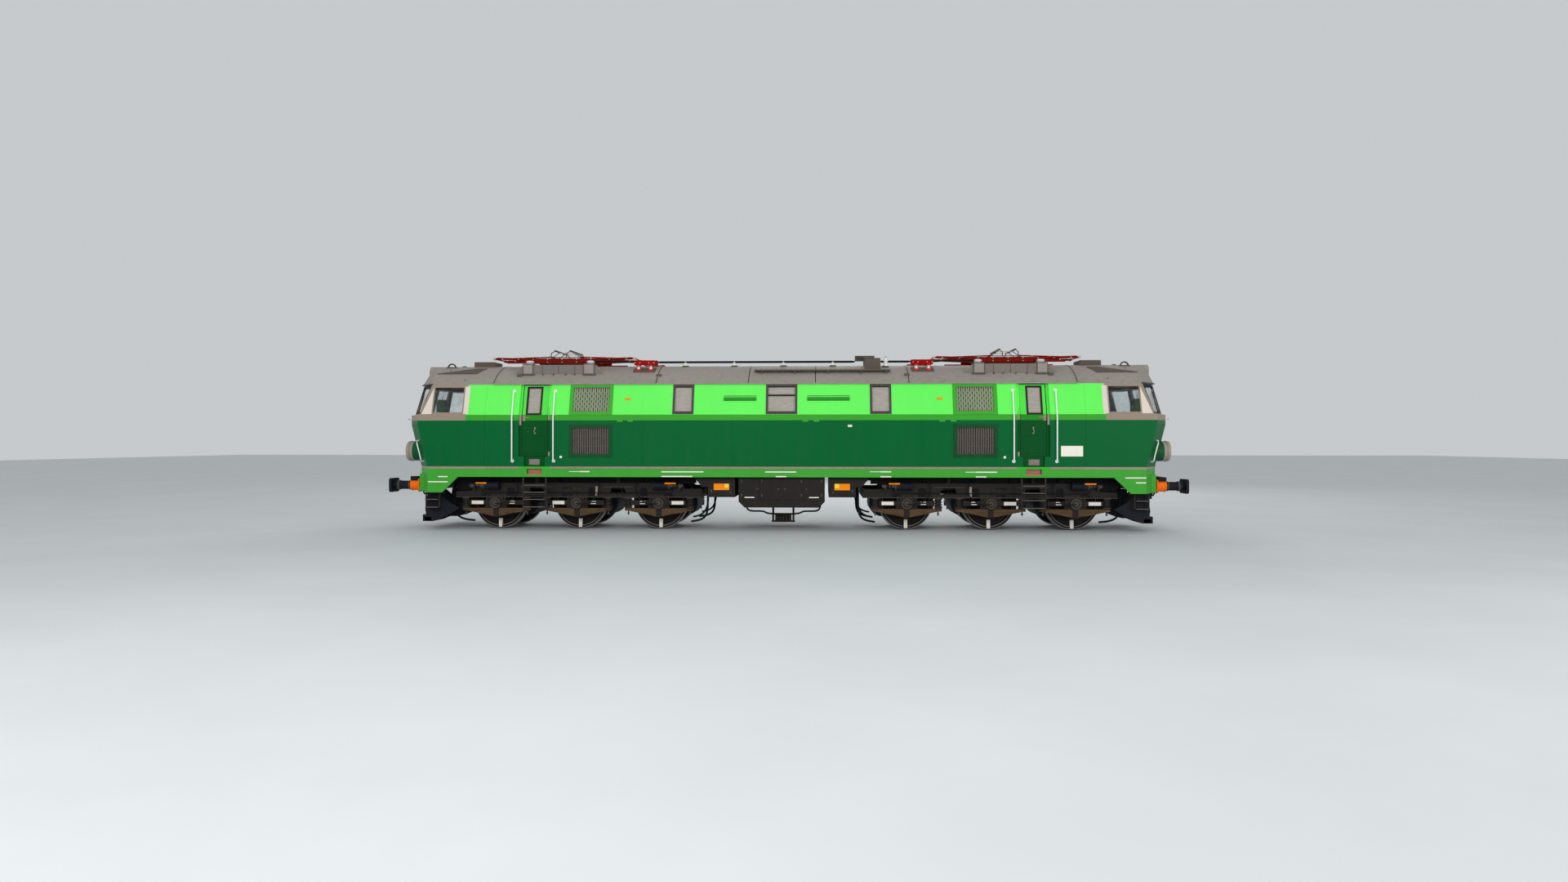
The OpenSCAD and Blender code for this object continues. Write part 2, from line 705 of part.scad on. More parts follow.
// Side outline of a leaf beam: flat on top, deepest under the axle
leaf_outline = [[-leaf_half, leaf_high_z - leaf_end_t], [-leaf_foot_half, leaf_low_z],
    [leaf_foot_half, leaf_low_z], [leaf_half, leaf_high_z - leaf_end_t],
    [leaf_half, leaf_high_z], [-leaf_half, leaf_high_z]];

// Axlebox with its leaf beam and two coil springs, on the +Y side of an axle
module axlebox() {
    difference() {
        block([-box_half, box_y0, axle_z - box_h], [box_half, box_y1 - 60, axle_z + box_h - fit_gap]);
        translate([0, 0, axle_z]) rod_y(box_y0 - 1, journal_end_y + 2, journal_d / 2 + run_gap);
    }
    translate([0, 0, axle_z]) rod_y(box_y1 - 61, box_y1, box_h - 5);
    block([-leaf_foot_half, leaf_y0 - 10, leaf_low_z - 10],
        [leaf_foot_half, leaf_y1 + 10, axle_z - box_h + 1]);
    along_y(leaf_y0, leaf_y1) polygon(leaf_outline);
    for (s = [-1, 1]) translate([s * spring_pitch, (leaf_y0 + leaf_y1) / 2, 0]) {
        translate([0, 0, leaf_high_z - 60]) cylinder(h = 90, r = spring_r + 15);
        translate([0, 0, leaf_high_z]) cylinder(h = frame_low_z - leaf_high_z - fit_gap, r = spring_r);
    }
}

module axleboxes() for (x = axle_offsets()) translate([bogie_x + x, 0, 0]) both_sides() axlebox();

module axleboxes_1() color(beam_brown) on_rail() mirror([1, 0, 0]) axleboxes();
module axleboxes_2() color(beam_brown) on_rail() axleboxes();

motor_r = 310;
motor_half_l = 540;
motor_offset = 560;
motor_z = 590;

// Three nose-hung motors, each on the inner side of its axle, with its nose on a cross member
module traction_motors() for (x = axle_offsets()) translate([bogie_x + x - motor_offset, 0, 0]) {
    nose = axle_pitch / 2 - motor_offset - transom_half;
    if (x < 0) block([motor_offset - frame_inner + 120, -90, motor_z + 190],
        [-motor_r + 80, 90, frame_low_z + 120]);
    else block([-nose - 60, -90, motor_z], [-nose - 5, 90, transom_z0]);
    difference() {
        union() {
            translate([0, 0, motor_z]) rod_y(-motor_half_l, motor_half_l, motor_r);
            block([0, -motor_half_l + 60, motor_z - 150],
                [motor_offset - 20, motor_half_l - 60, motor_z + 170]);
        }
        translate([motor_offset, 0, axle_z]) rod_y(-motor_half_l - 1, motor_half_l + 1, axle_r + 15);
    }
}

module traction_motors_1() color(navy_black) on_rail() mirror([1, 0, 0]) traction_motors();
module traction_motors_2() color(navy_black) on_rail() traction_motors();

shoe_t = 45;
shoe_gap = 8;
brake_cyl_r = 80;
brake_cyl_z = 1050;
brake_y = frame_y + frame_t;

// Brake cylinders on the side frames and a shoe with its hanger on each side of every wheel
module brake_gear() translate([bogie_x, 0, 0]) both_sides() {
    shoe_y = wheel_y + 6;
    both_ends() {
        translate([axle_pitch, brake_y + brake_cyl_r + 5, brake_cyl_z]) {
            rod_x(-80, 260, brake_cyl_r);
            rod_x(259, 560, 30);
        }
        block([axle_pitch + 20, brake_y, brake_cyl_z - 60],
            [axle_pitch + 160, brake_y + 60, brake_cyl_z + 40]);
        block([axle_pitch + 480, brake_y, brake_cyl_z - 120],
            [axle_pitch + 540, brake_y + brake_cyl_r + 5, brake_cyl_z + 10]);
    }
    for (x = axle_offsets(), s = [-1, 1]) translate([x, 0, axle_z]) {
        intersection() {
            difference() {
                rod_y(shoe_y, shoe_y + 85, wheel_r + shoe_gap + shoe_t);
                rod_y(shoe_y - 1, shoe_y + 86, wheel_r + shoe_gap);
            }
            block([min(0, s * 900), shoe_y - 1, -190], [max(0, s * 900), shoe_y + 86, 190]);
        }
        block([s * (wheel_r + shoe_gap + 50) - 15, shoe_y + 25, 100],
            [s * (wheel_r + shoe_gap + 50) + 15, shoe_y + 65, frame_low_z - axle_z + 50]);
    }
    for (x = axle_offsets(), s = [-1, 1])
        block([x + s * (wheel_r + shoe_gap + 50) - 15, shoe_y + 25, frame_low_z + 49],
            [x + s * (wheel_r + shoe_gap + 50) + 15, frame_y, frame_low_z + 110]);
}

module brake_gear_1() color(steel_dark) on_rail() mirror([1, 0, 0]) brake_gear();
module brake_gear_2() color(steel_dark) on_rail() brake_gear();

// ---------- buffers, couplers, hoses ----------
buffer_y = 875;
buffer_z = 1045;
buffer_foot = nose_x - nose_rake;
casing_r = 120;
head_half_w = 225;
head_half_h = 170;

module buffer_casings() color(safety_orange) on_rail() four_corners() translate([0, buffer_y, buffer_z]) {
    block([buffer_foot, -165, -160], [buffer_foot + 30, 165, 160]);
    difference() {
        rod_x(buffer_foot + 29, buffer_foot + 250, casing_r + 10);
        rod_x(buffer_foot + 40, buffer_foot + 251, casing_r - 15 + fit_gap);
    }
}

module buffer_heads() color(steel_dark) on_rail() four_corners() translate([0, buffer_y, buffer_z]) {
    rod_x(buffer_foot + 41, buffer_face_x - 60, casing_r - 15);
    intersection() {
        rod_x(buffer_face_x - 61, buffer_face_x, head_half_w + 30);
        block([buffer_face_x - 70, -head_half_w, -head_half_h],
            [buffer_face_x + 1, head_half_w, head_half_h]);
    }
}

hook_len = 330;
hook_pin_r = 25;

// Draw hook in its slot, with the links and trunnion of its screw coupling hanging from it
module couplers() color(steel_dark) on_rail() both_ends() translate([buffer_foot, 0, hook_z]) {
    block([-200, -hook_w / 2, -hook_h / 2], [180, hook_w / 2, hook_h / 2]);
    along_y(-30, 30) polygon([[170, -hook_h / 2], [hook_len, -40], [hook_len + 40, 40], [hook_len, 110],
        [hook_len - 50, 100], [hook_len - 40, 40], [hook_len - 90, 10], [170, hook_h / 2]]);
    translate([150, 0, 0]) rod_y(-80, 80, hook_pin_r);
    both_sides() along_y(50, 72) polygon([[115, 35], [185, 35], [215, -350], [150, -350]]);
    translate([183, 0, -315]) rod_y(-95, 95, 27);
}

hose_r = 18;
hose_ys = [330, 470];

// Brake hoses hang from their cocks on the apron and are hooked up on their holders
module brake_hoses() color(navy_black) on_rail() four_corners() for (y = hose_ys) {
    tube(smooth([[buffer_foot + 40, y, 1180], [buffer_foot + 90, y, 1160], [buffer_foot + 140, y, 1080],
        [buffer_foot + 150, y, 960], [buffer_foot + 130, y + 10, 850], [buffer_foot + 90, y + 25, 800],
        [buffer_foot + 50, y + 45, 830], [buffer_foot + 30, y + 50, 920]], 2), hose_r, [0, 1, 0], 10);
    translate([buffer_foot, y, 1180]) rod_x(0, 60, 30);
    translate([buffer_foot, y + 50, 930]) rod_x(0, 60, 26);
}

// ---------- rail guards, steps, ladders ----------
guard_y = 760;
guard_half = 330;
guard_t = 60;
guard_foot_z = 170;

// Rail guard: a bent plate under the nose, hung from the buffer beam by two arms
module rail_guards() color(navy_black) on_rail() four_corners() {
    foot = nose_x - 360;
    block([foot - 250, guard_y - guard_half, guard_foot_z], [foot, guard_y + guard_half, guard_foot_z + 160]);
    for (y = [guard_y - guard_half, guard_y + guard_half - guard_t])
        along_y(y, y + guard_t) polygon([[foot - 250, guard_foot_z], [foot - 100, guard_foot_z],
            [foot - 60, guard_foot_z + 300], [foot - 130, apron_z + 20], [foot - 330, apron_z + 20],
            [foot - 640, guard_foot_z + 470], [foot - 900, guard_foot_z + 330],
            [foot - 640, guard_foot_z + 160]]);
}

corner_step_x = nose_x - 665;
corner_step_y = 1200;
corner_step_half = 165;
ladder_y = half_w - 30;
ladder_half = 275;
ladder_low_z = 530;
rung_zs = [540, 720, 890, 1060];
ladder_bar = 14;

module cab_steps() color(step_pink) on_rail() four_corners() {
    // corner steps under the apron
    for (x = [-1, 1])
        block([corner_step_x + x * corner_step_half - 12, corner_step_y, 512],
            [corner_step_x + x * corner_step_half + 12, corner_step_y + 40, apron_z]);
    for (z = [512, 700])
        block([corner_step_x - corner_step_half, corner_step_y - 90, z],
            [corner_step_x + corner_step_half, corner_step_y + 90, z + 24]);
    // ladder under the door, carried by two stringers from the skirt
    for (x = [-1, 1])
        block([door_x + x * ladder_half - ladder_bar, ladder_y - 30, ladder_low_z],
            [door_x + x * ladder_half + ladder_bar, ladder_y + 14, skirt_z]);
    for (z = rung_zs)
        block([door_x - ladder_half, ladder_y - 70, z],
            [door_x + ladder_half, ladder_y + 20, z + 22]);
    // step in the skirt's foot hole
    block([door_x - step_hole[0] / 2, half_w - wall_t - 20, step_hole_z],
        [door_x + step_hole[0] / 2, half_w - 5, step_hole_z + 24]);
}

// ---------- under the floor, between the bogies ----------
bogie_reach = axle_pitch + frame_inner + 250;
box_end_x = bogie_x - bogie_reach + 80;
main_box_half = 1025;
main_box_z = 542;
side_box_z = 785;
box_gap = 90;

module underfloor_boxes() color(steel_dark) on_rail() {
    along_y(-half_w + 130, half_w - 130) polygon([[-main_box_half, main_box_z + 140],
        [-main_box_half + 140, main_box_z], [main_box_half - 140, main_box_z],
        [main_box_half, main_box_z + 140], [main_box_half, slab_low_z], [-main_box_half, slab_low_z]]);
    both_ends() {
        block([main_box_half + box_gap, -half_w + 160, side_box_z],
            [box_end_x, half_w - 160, slab_low_z]);
    }
    // sensor frame hung below the main box
    for (x = [-250, 250]) block([x - 25, -420, 120], [x + 25, -370, main_box_z + 1]);
    for (z = [120, 300]) block([-290, -420, z], [290, -370, z + 40]);
    block([-200, -440, 160], [200, -350, 300]);
    both_ends() tube(smooth([[main_box_half - 110, -395, main_box_z + 80], [main_box_half - 120, -395, 470],
        [main_box_half - 220, -395, 395], [520, -395, 385], [400, -395, 340], [270, -395, 320]], 3),
        22, [0, 1, 0], 10);
}

pipe_r = 26;
sand_y = 780;

module sand_pipes() color(navy_black) on_rail() four_corners() {
    inner = bogie_x - axle_pitch;
    outer = bogie_x + axle_pitch;
    for (route = [[[outer + 1140, slab_low_z], [outer + 1140, 700], [outer + 1130, 440], [outer + 1050, 280],
        [outer + 880, 200], [outer + 640, 170]], [[inner - 1150, slab_low_z], [inner - 1150, 700],
        [inner - 1140, 440], [inner - 1080, 280], [inner - 950, 200], [inner - 740, 160]]])
        tube(concat([[route[0][0], sand_y, route[0][1]]],
            smooth([for (i = [1:5]) [route[i][0], sand_y, route[i][1]]], 3)), pipe_r, [0, 1, 0]);
}

// ---------- roof equipment ----------
post_xs = [-2445, -1224, 0, 1224];
busbar_z = crown_z + 85;
busbar_y = -300;
busbar_r = 20;
shed_r = 62;
disc_x = nose_x - 5750;
disc_half = 250;
disc_z = crown_z + 5;
disc_post_y = 740;
disc_half_w = 790;
breaker_x = 2190;

// An insulator: a stem with sheds, standing on z = 0 with its foot reaching below
module insulator(h, r, foot = 0) {
    sheds = 4;
    rise = h / (sheds + 1);
    translate([0, 0, -foot]) cylinder(h = h + foot, r = r * 0.55);
    translate([0, 0, -foot]) cylinder(h = foot + rise * 0.6, r = r * 0.9);
    for (i = [1:sheds]) translate([0, 0, rise * i]) cylinder(h = rise * 0.5, r = r);
}

module insulators() color(rail_white) on_rail() {
    foot = 25;
    difference() {
        union() {
            for (x = post_xs) translate([x, busbar_y, roof_z(busbar_y)])
                insulator(busbar_z - busbar_r - roof_z(busbar_y), shed_r, foot);
            both_ends() for (s = [-1, 1], y = [-disc_post_y, disc_post_y])
                translate([disc_x + s * 150, y, roof_z(y)]) insulator(disc_z - roof_z(y), 40, foot);
            translate([breaker_x + 330, busbar_y - 170, roof_z(busbar_y - 170)]) insulator(230, 60, foot);
        }
        along_x(-roof_end_x, roof_end_x) roof_arch(-fit_gap);
    }
    four_corners() for (s = [-1, 1])
        translate([panto_x + s * panto_foot_x, panto_post_y, panto_base_z - insulator_h])
            insulator(insulator_h, 85);
}

module busbar() color(steel_dark) on_rail() {
    x1 = disc_x - disc_half;
    translate([0, busbar_y, busbar_z]) {
        rod_x(-x1, breaker_x - 420, busbar_r);
        rod_x(breaker_x + 190, x1, busbar_r);
    }
    for (x = [-panto_x, panto_x]) {
        s = sign(x);
        low = panto_base_z + 5;
        lead_y = -base_y - 70;
        tube(concat([[s * (disc_x + disc_half), busbar_y, busbar_z]],
            smooth([[s * (disc_x + disc_half + 40), busbar_y, busbar_z],
            [s * (disc_x + disc_half + 180), busbar_y - 80, busbar_z],
            [x - s * (base_half + 80), -base_y - 50, low], [x - s * (base_half - 80), lead_y, low],
            [x - s * (panto_foot_x + 80), lead_y, low]], 3),
            [[x - s * (panto_foot_x + 30), lead_y, low]]), busbar_r, [0, 0, 1]);
    }
}

module disconnectors() color(signal_red) on_rail() both_ends()
    block([disc_x - disc_half, -disc_half_w, disc_z], [disc_x + disc_half, disc_half_w, disc_z + 125]);

module breaker() color(pod_grey) on_rail() {
    difference() {
        block([breaker_x - 190, -420, crown_z - 200], [breaker_x + 190, 300, crown_z + 155]);
        along_x(breaker_x - 200, breaker_x + 200) roof_arch(-0.5);
    }
    block([breaker_x - 420, -380, crown_z + 100], [breaker_x + 60, -200, crown_z + 225]);
}

plank_z = crown_z - 185;
plank_xs = [-680, 2600];
plank_bracket_xs = [-500, 300, 1100, 1900, 2500];

module roof_walkways() color(pod_grey) on_rail() both_sides() {
    y = sqrt(roof_r * roof_r - pow(plank_z - roof_axis_z, 2));
    difference() {
        union() {
            block([plank_xs[0], y + 5, plank_z], [plank_xs[1], y + 165, plank_z + 30]);
            for (x = plank_bracket_xs)
                block([x - 15, y - 60, plank_z - 80], [x + 15, y + 150, plank_z + 1]);
        }
        along_x(-1000, 3000) roof_arch(-fit_gap);
    }
}

ring_r = 110;

module lifting_rings() color(steel_dark) on_rail() four_corners() {
    y = 420;
    difference() {
        translate([nose_x - 820, y, roof_z(y)]) {
            difference() {
                rod_y(-18, 18, ring_r);
                rod_y(-20, 20, ring_r - 32);
            }
            block([-ring_r - 20, -40, -30], [ring_r + 20, 40, 16]);
        }
        along_x(cab_x, nose_x) roof_arch(-fit_gap);
    }
}

// ---------- pantographs ----------
// Diamond frames with equal arms: both lower arms fold outwards, both upper arms fold back
panto_post_y = (pod_in + pod_out) / 2;
panto_base_z = pod_high_z + 25 + insulator_h;
base_half = 1370;
base_y = 620;
pivot_up = 45;
pivot_z = panto_base_z + pivot_up;
knuckle_z = pivot_z + arm_l * sin(fold_angle);
head_z = pivot_z + 2 * arm_l * sin(fold_angle);
knuckle_x = pivot_half + arm_l * cos(fold_angle);
shaft_r = 16;
boss_r = 30;
boss_w = 36;
lower_y = 560;
knuckle_y = 400;
upper_y = 350;
head_y = 300;
yoke_y = 240;
tube_low_r = 21;
tube_high_r = 15;
open_gap = 6;

module boss(y, r_out, r_in) difference() {
    rod_y(y - boss_w / 2, y + boss_w / 2, r_out);
    rod_y(y - boss_w, y + boss_w, r_in);
}

module base_frame() {
    for (s = [-1, 1]) {
        block([s * panto_foot_x - 30, -panto_post_y - 60, panto_base_z],
            [s * panto_foot_x + 30, panto_post_y + 60, panto_base_z + 25]);
        translate([s * pivot_half, 0, pivot_z]) rod_y(-base_y - 20, base_y + 20, shaft_r);
    }
    both_sides() {
        block([-base_half, base_y - 25, panto_base_z - 40], [base_half, base_y + 25, panto_base_z + 1]);
        for (s = [-1, 1]) block([s * pivot_half - 30, base_y - 25, panto_base_z],
            [s * pivot_half + 30, base_y + 10, pivot_z + 30]);
    }
}

module pantograph_bases() color(arm_red) on_rail() for (x = [-panto_x, panto_x])
    translate([x, 0, 0]) base_frame();

// Lower arm that folds towards +X
module lower_arm() {
    difference() {
        union() {
            both_sides() {
                translate([pivot_half, 0, pivot_z]) rod_y(lower_y - boss_w / 2, lower_y + boss_w / 2, boss_r);
                bar([pivot_half + 20, lower_y - 3, pivot_z + 1], [knuckle_x, knuckle_y + 20, knuckle_z],
                    tube_low_r);
            }
            translate([pivot_half + 90, 0, pivot_z + 3]) rod_y(-lower_y + 10, lower_y - 10, tube_low_r - 3);
            translate([knuckle_x, 0, knuckle_z]) rod_y(-knuckle_y - 45, knuckle_y + 45, shaft_r);
            both_sides() translate([knuckle_x, 0, knuckle_z]) rod_y(knuckle_y + 10, knuckle_y + 50, boss_r);
        }
        translate([pivot_half, 0, pivot_z]) rod_y(-base_y, base_y, shaft_r + run_gap);
    }
}

// Upper arm that folds back from the +X knuckle to the head
module upper_arm() {
    difference() {
        union() {
            both_sides() {
                translate([knuckle_x, 0, knuckle_z])
                    rod_y(upper_y - boss_w / 2, upper_y + boss_w / 2, boss_r - 2);
                bar([knuckle_x - 18, upper_y - 2, knuckle_z + 1], [pivot_half, head_y, head_z], tube_high_r);
            }
            translate([pivot_half, 0, head_z]) rod_y(-head_y - 14, head_y + 14, shaft_r - 4);
            translate([knuckle_x - 400, 0, knuckle_z + 400 * tan(fold_angle)])
                rod_y(-upper_y + 12, upper_y - 12, tube_high_r - 3);
        }
        translate([knuckle_x, 0, knuckle_z]) rod_y(-knuckle_y, knuckle_y, shaft_r + run_gap);
    }
}

strip_x = 190;
strip_up = 120;
strip_half = 600;
horn_half = 960;
horn_drop = 190;
horn_r = 12;
yoke_r = 9;

// Collector head: two strips with turned-down horns on a yoke between the upper arms
module pantograph_head() {
    for (s = [-1, 1]) {
        translate([s * strip_x, 0, head_z + strip_up]) {
            tube([[0, -horn_half, -horn_drop], [0, -horn_half + 50, -horn_drop + 110],
                [0, -horn_half + 180, -45], [0, -strip_half - 40, -8], [0, -strip_half, 0],
                [0, strip_half, 0], [0, strip_half + 40, -8], [0, horn_half - 180, -45],
                [0, horn_half - 50, -horn_drop + 110], [0, horn_half, -horn_drop]], horn_r, [1, 0, 0]);
            block([-22, -strip_half, 4], [22, strip_half, 26]);
        }
        both_sides() {
            translate([s * pivot_half, 0, head_z]) boss(yoke_y, boss_r - 4,
                s > 0 ? shaft_r - 4 + run_gap : shaft_r - 4 + open_gap);
            bar([s * (pivot_half - 21), yoke_y, head_z],
                [s * (strip_x - 12), yoke_y, head_z + strip_up - 8], yoke_r);
        }
    }
    both_sides() bar([-pivot_half + 21, yoke_y, head_z + 1], [pivot_half - 21, yoke_y, head_z + 1], yoke_r);
}

module lower_arm_1_a() color(arm_red) on_rail() translate([-panto_x, 0, 0]) lower_arm();
module lower_arm_1_b() color(arm_red) on_rail() translate([-panto_x, 0, 0]) mirror([1, 0, 0]) lower_arm();
module upper_arm_1_a() color(arm_red) on_rail() translate([-panto_x, 0, 0]) upper_arm();
module upper_arm_1_b() color(arm_red) on_rail() translate([-panto_x, 0, 0]) mirror([1, 0, 0]) upper_arm();
module pantograph_head_1() color(slat_grey) on_rail() translate([-panto_x, 0, 0]) pantograph_head();
module lower_arm_2_a() color(arm_red) on_rail() translate([panto_x, 0, 0]) lower_arm();
module lower_arm_2_b() color(arm_red) on_rail() translate([panto_x, 0, 0]) mirror([1, 0, 0]) lower_arm();
module upper_arm_2_a() color(arm_red) on_rail() translate([panto_x, 0, 0]) upper_arm();
module upper_arm_2_b() color(arm_red) on_rail() translate([panto_x, 0, 0]) mirror([1, 0, 0]) upper_arm();
module pantograph_head_2() color(slat_grey) on_rail() translate([panto_x, 0, 0]) pantograph_head();

// ---------- handrails and lamps ----------
rail_off = 50;
handrail_r = 17;
rail_xs = [door_x - 465, door_x + 530];
rail_low_z = 1650;
rail_knee_z = waist_z - 80;
rail_high_z = 3320;
grab_out = 75;
grab_r = 14;

// X of the nose's corner facet at width y and height z
function facet_x(y, z) = nose_x - nose_rake * (slope_top_z - z) / (slope_top_z - sill_z)
    - (y - nose_flat) * nose_facet / (half_w - nose_flat);

module handrails() color(rail_white) on_rail() four_corners() {
    out = unit([0, eave_z - waist_z, lean]);
    down = unit([0, lean, waist_z - eave_z]);
    bend = 22;
    for (x = rail_xs) {
        top = [x, wall_y(rail_high_z), rail_high_z];
        tube([[x, half_w, rail_low_z], [x, half_w + rail_off - bend, rail_low_z],
            [x, half_w + rail_off, rail_low_z + bend], [x, half_w + rail_off, rail_knee_z],
            top + rail_off * out + bend * down, top + (rail_off - bend) * out, top], handrail_r, [1, 0, 0]);
        translate([x, 0, rail_low_z]) rod_y(half_w, half_w + 12, handrail_r + 10);
    }
    // curved grab rail beside the headlight, on the nose's corner facet
    n = unit([half_w - nose_flat, nose_facet, -nose_rake * (half_w - nose_flat) / (slope_top_z - sill_z)]);
    foot = [for (e = [[1260, 2140], [1275, 1640]]) [facet_x(e[0], e[1]), e[0], e[1]] + fit_gap * n];
    bow = [for (e = [[1330, 2080], [1345, 1930], [1345, 1790], [1325, 1690]])
        [facet_x(e[0], e[1]), e[0], e[1]] + grab_out * n];
    rise = grab_out / 2 * n;
    tube(concat([foot[0], foot[0] + rise], bow, [foot[1] + rise, foot[1]]), grab_r, [0, 1, 0], 10);
}

module headlights() color(roof_grey) on_rail() {
    four_corners() translate([0, lamp_y, lamp_z]) difference() {
        rod_x(nose_x - nose_rake - wall_t - 40, nose_x + 70, lamp_r);
        rod_x(nose_x + 45, nose_x + 71, lamp_r - 30);
    }
    both_ends() translate([0, 0, brow_z]) difference() {
        rod_x(roof_plan[0] - 160, roof_plan[0] + brow_out, brow_r);
        rod_x(roof_plan[0] + brow_out - 20, roof_plan[0] + brow_out + 1, brow_r - 25);
    }
}

// ---------- inside the cabs ----------
desk_half = nose_flat - 40;
desk_d = 640;
desk_h = 900;
seat_x = nose_x - 1450;
seat_y = 620;

module driver_desks() color(desk_green) on_rail() both_ends() {
    front = nose_x - nose_rake - wall_t - 140;
    along_y(-desk_half, desk_half) polygon([[front - desk_d + 200, floor_z], [front - 60, floor_z],
        [front - 20, floor_z + desk_h - 60], [front - 60, floor_z + desk_h + 60],
        [front - desk_d, floor_z + desk_h - 60], [front - desk_d, floor_z + desk_h - 180],
        [front - desk_d + 200, floor_z + desk_h - 260]]);
}

module driver_seats() color(desk_green) on_rail() four_corners() translate([seat_x, seat_y, floor_z]) {
    cylinder(h = 430, r = 60);
    cylinder(h = 30, r = 200);
    block([-220, -230, 429], [240, 230, 540]);
    block([-300, -220, 500], [-200, 220, 1180]);
}

machine_half_l = 4200;
machine_half_w = 820;
machine_h = 1400;

module machinery() color(steel_dark) on_rail()
    block([-machine_half_l, -machine_half_w, floor_z], [machine_half_l, machine_half_w, floor_z + machine_h]);

underframe();
side_walls();
cab_shells();
cab_roofs();
roof_panels();
bulkheads();
cab_glazing();
side_windows();
side_grilles();
handrails();
headlights();
buffer_casings();
buffer_heads();
couplers();
brake_hoses();
rail_guards();
cab_steps();
underfloor_boxes();
sand_pipes();
busbar();
insulators();
disconnectors();
breaker();
roof_walkways();
lifting_rings();
driver_desks();
driver_seats();
machinery();
pantograph_bases();
bogie_frame_1();
bogie_frame_2();
axleboxes_1();
axleboxes_2();
traction_motors_1();
traction_motors_2();
brake_gear_1();
brake_gear_2();
wheelset_1();
wheelset_2();
wheelset_3();
wheelset_4();
wheelset_5();
wheelset_6();
cab_door_1_left();
cab_door_1_right();
cab_door_2_left();
cab_door_2_right();
lower_arm_1_a();
lower_arm_1_b();
upper_arm_1_a();
upper_arm_1_b();
pantograph_head_1();
lower_arm_2_a();
lower_arm_2_b();
upper_arm_2_a();
upper_arm_2_b();
pantograph_head_2();
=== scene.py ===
"""Looks of a six-axle electric locomotive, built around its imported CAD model.

Metres. X runs along the locomotive, Y across it, Z up. What repeats on both sides or ends is made once,
in the quarter with X and Y above zero, and copied by mirrored matrices.
"""
import json
import math

import bmesh
import bpy
from mathutils import Matrix, Vector

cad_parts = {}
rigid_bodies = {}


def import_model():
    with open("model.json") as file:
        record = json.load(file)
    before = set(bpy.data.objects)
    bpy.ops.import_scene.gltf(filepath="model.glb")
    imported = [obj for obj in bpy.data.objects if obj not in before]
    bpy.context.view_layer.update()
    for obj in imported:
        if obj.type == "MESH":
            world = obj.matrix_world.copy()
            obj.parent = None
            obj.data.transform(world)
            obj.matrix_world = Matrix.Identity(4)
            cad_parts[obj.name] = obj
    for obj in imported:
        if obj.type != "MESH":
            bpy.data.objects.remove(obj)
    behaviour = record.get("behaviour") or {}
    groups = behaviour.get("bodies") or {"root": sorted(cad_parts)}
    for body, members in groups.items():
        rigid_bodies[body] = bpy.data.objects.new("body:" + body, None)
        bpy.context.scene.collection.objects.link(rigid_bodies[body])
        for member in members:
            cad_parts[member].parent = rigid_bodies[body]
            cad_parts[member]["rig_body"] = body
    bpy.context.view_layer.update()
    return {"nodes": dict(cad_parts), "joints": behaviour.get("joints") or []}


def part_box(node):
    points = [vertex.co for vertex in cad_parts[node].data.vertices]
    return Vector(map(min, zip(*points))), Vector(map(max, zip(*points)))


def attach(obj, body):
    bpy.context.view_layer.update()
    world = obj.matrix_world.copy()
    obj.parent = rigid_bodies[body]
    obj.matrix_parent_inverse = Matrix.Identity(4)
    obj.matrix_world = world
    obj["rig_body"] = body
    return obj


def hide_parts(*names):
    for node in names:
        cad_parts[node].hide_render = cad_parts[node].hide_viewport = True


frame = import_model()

NODES = frame["nodes"]
JOINTS = {j["name"]: Vector(j["pos_m"]) for j in frame["joints"]}

# ---------- sizes, from the frame and from the levels that the paint and the trim follow ----------
RAIL = 0.028                       # rail top above the flanges' foot
WAIST = RAIL + 2.75                # where the side walls start to lean in
STRIPE = RAIL + 2.615              # lower edge of the stripe under the waist
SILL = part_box("side_walls")[0].z   # foot of the side walls
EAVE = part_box("side_walls")[1].z
LINE = SILL - 0.05                 # lower edge of the grey line on the skirt
SKIRT = RAIL + 1.267               # lower edge of the skirt
CROWN = RAIL + 4.005               # top of the roof's arch
HALF_W = 1.5                       # half-width of the body
LEAN = 0.2                         # how far the upper wall leans in
NOSE_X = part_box("cab_shells")[1].x
FOOT_X = NOSE_X - 0.25             # face of the headstock
DOOR_X = 5.901                     # middle of a door
RECESS = (5.525, 6.277)            # ends of the recess round a door
RECESS_D = 0.05
GRILLE_X = 4.55                    # middle of the grilles
GRILLE_W = 0.98
PANTO_X = 5.466                    # middle of a pantograph
BOGIE_X = JOINTS["bogie_2_swivel"].x
AXLE_XS = [JOINTS[f"wheelset_{i}_roll"].x for i in range(1, 7)]
AXLE_Z = JOINTS["wheelset_1_roll"].z
PITCH = AXLE_XS[1] - AXLE_XS[0]
FRAME_Y = 1.12                     # outer face of a bogie's side frame
ROOF_HALF = HALF_W - LEAN
ROOF_R = (ROOF_HALF ** 2 + (CROWN - EAVE) ** 2) / (2 * (CROWN - EAVE))
ROOF_AXIS = CROWN - ROOF_R
CREASE = math.radians(35)          # edges sharper than this are not shaded over


def wall_y(z):
    """Outer face of the side wall at height z"""
    return HALF_W - LEAN * max(0.0, z - WAIST) / (EAVE - WAIST)


def roof_z(y):
    return ROOF_AXIS + math.sqrt(ROOF_R ** 2 - y * y)


def roof_y(z):
    return math.sqrt(ROOF_R ** 2 - (z - ROOF_AXIS) ** 2)


# ---------- directions and mirrored copies ----------
FORE, OUT, UP = (1, 0, 0), (0, 1, 0), (0, 0, 1)


def mirror(sx, sy):
    return Matrix.Diagonal((sx, sy, 1, 1))


